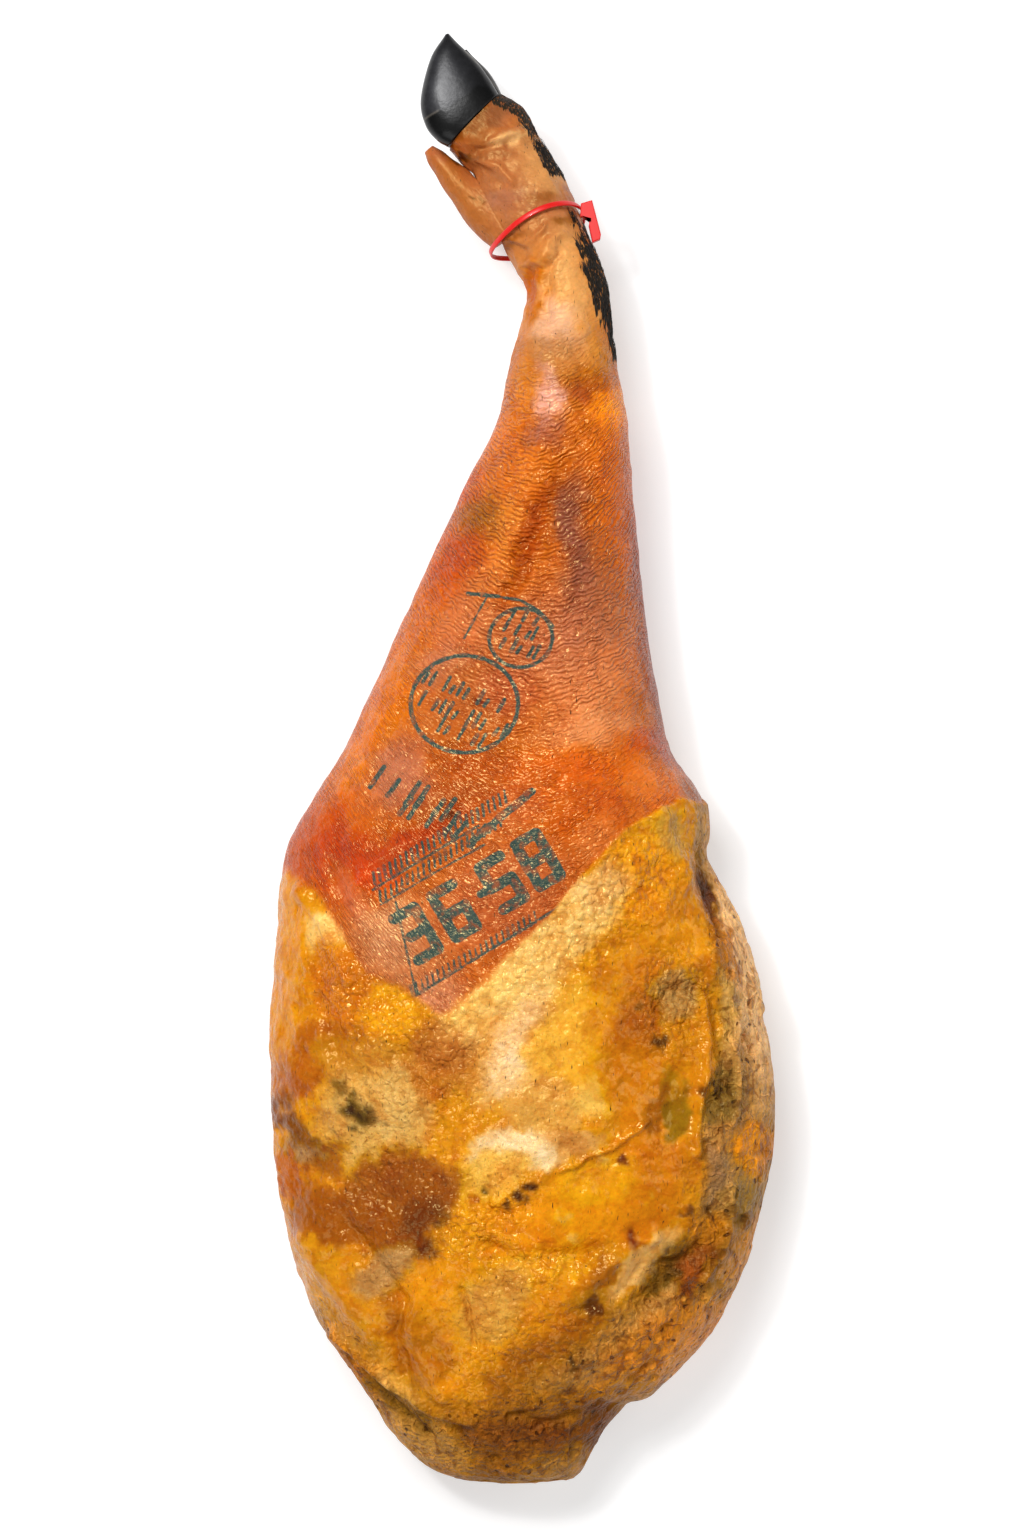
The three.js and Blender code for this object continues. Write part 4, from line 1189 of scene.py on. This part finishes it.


# The horn's colours, with a worn grey that is partly painted sheen, its dark band at the skin, a chipped
# edge and a crack.
HORN_DARK, HORN_WORN_SHEEN, HORN_ROOT = "#0d0d0e", "#3c3c40", "#050505"
HORN_BEHIND, HORN_CHIPPED = "#1c1815", "#6e665c"
HORN_BAND = [
    (-56, 344), (-50, 345), (-40, 349), (-29, 356), (-24, 361), (-12, 359), (-20, 350), (-34, 319),
    (-53, 330),
]
HORN_CHIP = [(-31, 380), (-25, 374), (-18, 368), (-11, 360)]
BEHIND_CHIP = [(0, 360), (-20, 390)]
HORN_CRACK = [(-53, 343), (-45, 347)]


def horn_colours(points):
    """The claws' colour at each point: worn grey and painted sheen on top, darker at the skin, pale at
    the chip.
    """
    x, y = points[:, 0], points[:, 1]
    # A grey oval on the upper face: partly worn horn, partly a painted sheen.
    worn = blob(x + 3 * noise(points, 9, 82), y, -43, 360, 9, 17, 0, 2)
    dark = smooth_step(inside(x, y, HORN_BAND) + 0.8 * noise(points, 4, 81), -0.8, 0.8)
    behind = smooth_step(inside(x, y, HORN_CHIP + BEHIND_CHIP), -0.6, 0.2)
    chip = to_line(x + 0.4 * noise(points, 5, 83), y, HORN_CHIP)
    pale = 0.6 * smooth_step(np.minimum(chip, to_line(x, y, HORN_CRACK)), 0.9, 0.2)
    colour = srgb(HORN_DARK)
    layers = [(HORN_WORN_SHEEN, worn), (HORN_ROOT, dark), (HORN_BEHIND, behind), (HORN_CHIPPED, pale)]
    for code, share in layers:
        colour = colour + share[:, None] * (srgb(code) - colour)
    return colour


def put_claw(name, mid, reach, aside):
    """A hoof claw between its outer and inner edge, oval in section."""
    end = leg_rows(1.0)
    lean = math.radians(end[2])
    ahead = np.array([-math.sin(lean), math.cos(lean)])
    across = np.array([math.cos(lean), math.sin(lean)])
    start = end[:2] + CLAW_GAP * ahead
    edges = []
    for side, line in ((-1, CLAW_OUTER), (1, CLAW_INNER)):
        edge = np.concatenate([[start + side * CLAW_HALF_WIDTH * across], line])
        far = (edge - start) @ ahead
        edges.append(edge + np.outer(far * (reach - 1), ahead) + aside * across)
    knots = np.linspace(0, 1, len(CLAW_HALF_THICK))
    t = np.linspace(0, 1, CLAW_ROWS)
    outer, inner = [smooth_through(knots, edge, t)[:, None, :] for edge in edges]
    thick = smooth_through(knots, CLAW_HALF_THICK, t)[:, None]
    angle = whole_turn(CLAW_COLUMNS)[None, :]
    share = (0.5 + 0.5 * signed_power(np.cos(angle), CLAW_ROUND))[..., None]
    points = np.zeros((len(t), angle.size, 3))
    points[..., :2] = outer + (inner - outer) * share
    points[..., 2] = mid + thick * signed_power(np.sin(angle), CLAW_ROUND)
    flat, faces = closed_rings(points)
    piece = new_object(name, flat, faces, HORN)
    add_attribute(piece, "tint", to_linear(horn_colours(flat)))
    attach(piece, "root")
    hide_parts(name)


def put_seal():
    """The seal's strap, a rounded band on a loop round the ankle, and its bevelled head."""
    def centre(angle):
        """The strap's middle line at an angle round the ankle."""
        slack = STRAP_SLACK * np.exp(-(((angle - np.pi) / SLACK_WIDTH) ** 2))
        rows = leg_rows(STRAP_PLACE + STRAP_BOW * np.sin(angle))
        return section_points(rows, angle, STRAP_GAP + slack)

    turn = whole_turn(STRAP_AROUND)
    here = centre(turn)
    ahead = unit(centre(turn + ANGLE_STEP) - centre(turn - ANGLE_STEP))
    out = here - centre(np.array([0, np.pi])).mean(0)
    out = unit(out - ahead * np.sum(out * ahead, axis=1, keepdims=True))
    side = np.cross(out, ahead)
    round_turn = whole_turn(STRAP_SIDES)[None, :, None]
    thick = 0.5 * STRAP_THICK * signed_power(np.cos(round_turn), STRAP_ROUND)
    wide = 0.5 * STRAP_WIDE * signed_power(np.sin(round_turn), STRAP_ROUND)
    band = here[:, None] + thick * out[:, None] + wide * side[:, None]
    count = STRAP_AROUND * STRAP_SIDES
    faces = ring_faces(STRAP_AROUND + 1, STRAP_SIDES)
    faces = [[corner % count for corner in face] for face in faces]
    strap = new_object("seal_strap", band, faces, SEAL_PLASTIC)

    # The head is its outline, moved in at the bevelled edges by the mean of its sides' normals.
    line = np.array(HEAD_OUTLINE)
    before, after = line - np.roll(line, 1, 0), np.roll(line, -1, 0) - line
    sides = [np.stack([way[:, 1], -way[:, 0]], -1) for way in (unit(before), unit(after))]
    inward = sides[0] + sides[1]
    inward /= np.sum(inward * sides[1], axis=1, keepdims=True)
    levels = [(inset, -beyond) for inset, beyond in HEAD_BEVEL]
    levels += [(inset, HEAD_THICK + beyond) for inset, beyond in reversed(HEAD_BEVEL)]
    rings = []
    for inset, up in levels:
        rings.append(np.column_stack([line + inward * inset, np.full(len(line), HEAD_LOW + up)]))
    flat, faces = closed_rings(np.stack(rings))
    head = new_object("seal_head", flat, faces, SEAL_PLASTIC)
    head.data.shade_flat()
    for piece in (strap, head):
        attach(piece, "root")
        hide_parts("seal")


# The bristles: how many, their rings and sides, their radius at the root, how many rows of
# the skin ahead they point, and the least share of hair and height that they grow at.
BRISTLES, BRISTLE_RINGS, BRISTLE_SIDES, BRISTLE_RADIUS = 900, 5, 3, 0.2
ROWS_AHEAD, LEAST_HAIR, LEAST_HEIGHT = 14, 0.35, 30


def put_bristles(points, normals):
    """Black bristles that lie along the skin where the hair wasn't taken off."""
    chance = np.random.default_rng(7)
    rows = points.shape[0] - ROWS_AHEAD - 2
    hair = zones(points[:rows])[2]
    r, c = np.nonzero((hair > LEAST_HAIR) & (points[:rows, :, 2] > LEAST_HEIGHT))
    pick = chance.choice(len(r), BRISTLES)
    r, c = r[pick], c[pick]
    root, out = points[r, c], normals[r, c]
    ahead = unit(points[r + ROWS_AHEAD, c] - root)
    aside = np.cross(ahead, out)

    # Each bristle has its own length, its drift aside and its rise off the skin.
    length = chance.uniform(3, 8, BRISTLES)
    drift = chance.normal(0, 0.9, BRISTLES)
    lift = chance.uniform(0.2, 0.7, BRISTLES)
    t = np.linspace(0, 1, BRISTLE_RINGS)[None, :, None]
    spine = root[:, None] + ahead[:, None] * length[:, None, None] * t
    spine = spine + out[:, None] * (lift[:, None, None] * np.sin(2.6 * t) - 0.1)
    spine = spine + aside[:, None] * drift[:, None, None] * t * t
    radius = BRISTLE_RADIUS * (1 - 0.75 * t)[..., None]
    turn = whole_turn(BRISTLE_SIDES)[None, None, :, None]
    ring = np.cos(turn) * out[:, None, None] + np.sin(turn) * aside[:, None, None]
    strands = spine[:, :, None] + radius * ring
    faces, strand = [], ring_faces(BRISTLE_RINGS, BRISTLE_SIDES)
    for k in range(BRISTLES):
        first = k * BRISTLE_RINGS * BRISTLE_SIDES
        last = first + BRISTLE_RINGS * BRISTLE_SIDES - 1
        faces += [[corner + first for corner in face] for face in strand]
        faces += [[first, first + 1, first + 2], [last, last - 1, last - 2]]
    piece = new_object("bristles", strands, faces, BRISTLE)
    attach(piece, "root")


leg_points, leg_normals = put_leg()
put_side_claw()
for claw_name, claw_values in CLAWS.items():
    put_claw(claw_name, *claw_values)
put_seal()
put_bristles(leg_points, leg_normals)


def put_light(name, place, size, power):
    """A soft area light aimed at the origin, in metres and watts."""
    lamp = bpy.data.lights.new(name, "AREA")
    lamp.size, lamp.energy = size, power
    light = bpy.data.objects.new(name, lamp)
    bpy.context.collection.objects.link(light)
    light.location = place
    way = -mathutils.Vector(place)
    light.rotation_euler = way.to_track_quat("-Z", "Y").to_euler()
    light.visible_camera = False


# The floor's half width and height, in mm, its own glow and the light of the world.
FLOOR_HALF, FLOOR_HEIGHT, FLOOR_GLOW, WORLD_LIGHT = 4000, -0.3, 0.5, 0.17
# Lights: name, place in m, size in m, power in W.
LIGHTS = [
    ("key", (-0.6, 1.0, 2.05), 0.9, 37.5), ("sparkle", (-0.75, 0.7, 1.9), 0.2, 13),
    ("fill_right", (1.5, 0.2, 1.5), 1.2, 9), ("fill_low", (-0.9, -1.5, 1.6), 1.2, 11),
]


# The camera's place in m, its focal length and the height of its film in mm, and its reach in m.
CAMERA_PLACE = (-0.00567, -0.00378, 2.342)
FOCAL_LENGTH, FILM_HEIGHT, CAMERA_REACH = 100, 36, 20


def put_studio():
    """A white floor, a white world, four soft lights and the camera straight above."""
    corners = [(-1, -1), (1, -1), (1, 1), (-1, 1)]
    corners = [(x * FLOOR_HALF, y * FLOOR_HALF, FLOOR_HEIGHT) for x, y in corners]
    paper = plain_material("white_paper", "#c8c8c8", 0.9, 0.0)
    shader = paper.node_tree.nodes["Principled BSDF"]
    set_inputs(shader, {"Emission Color": (1, 1, 1, 1), "Emission Strength": FLOOR_GLOW})
    floor = new_object("floor", corners, [[0, 1, 2, 3]], paper)
    world = bpy.data.worlds.new("studio")
    world.use_nodes = True
    sky = world.node_tree.nodes["Background"]
    set_inputs(sky, {"Color": (1, 1, 1, 1), "Strength": WORLD_LIGHT})
    bpy.context.scene.world = world
    for light in LIGHTS:
        put_light(*light)
    lens = bpy.data.cameras.new("camera")
    lens.lens, lens.sensor_fit, lens.sensor_height = FOCAL_LENGTH, "VERTICAL", FILM_HEIGHT
    lens.clip_end = CAMERA_REACH
    camera = bpy.data.objects.new("camera", lens)
    bpy.context.collection.objects.link(camera)
    camera.location = CAMERA_PLACE
    bpy.context.scene.camera = camera
    bpy.context.scene.view_settings.view_transform = "Standard"


put_studio()
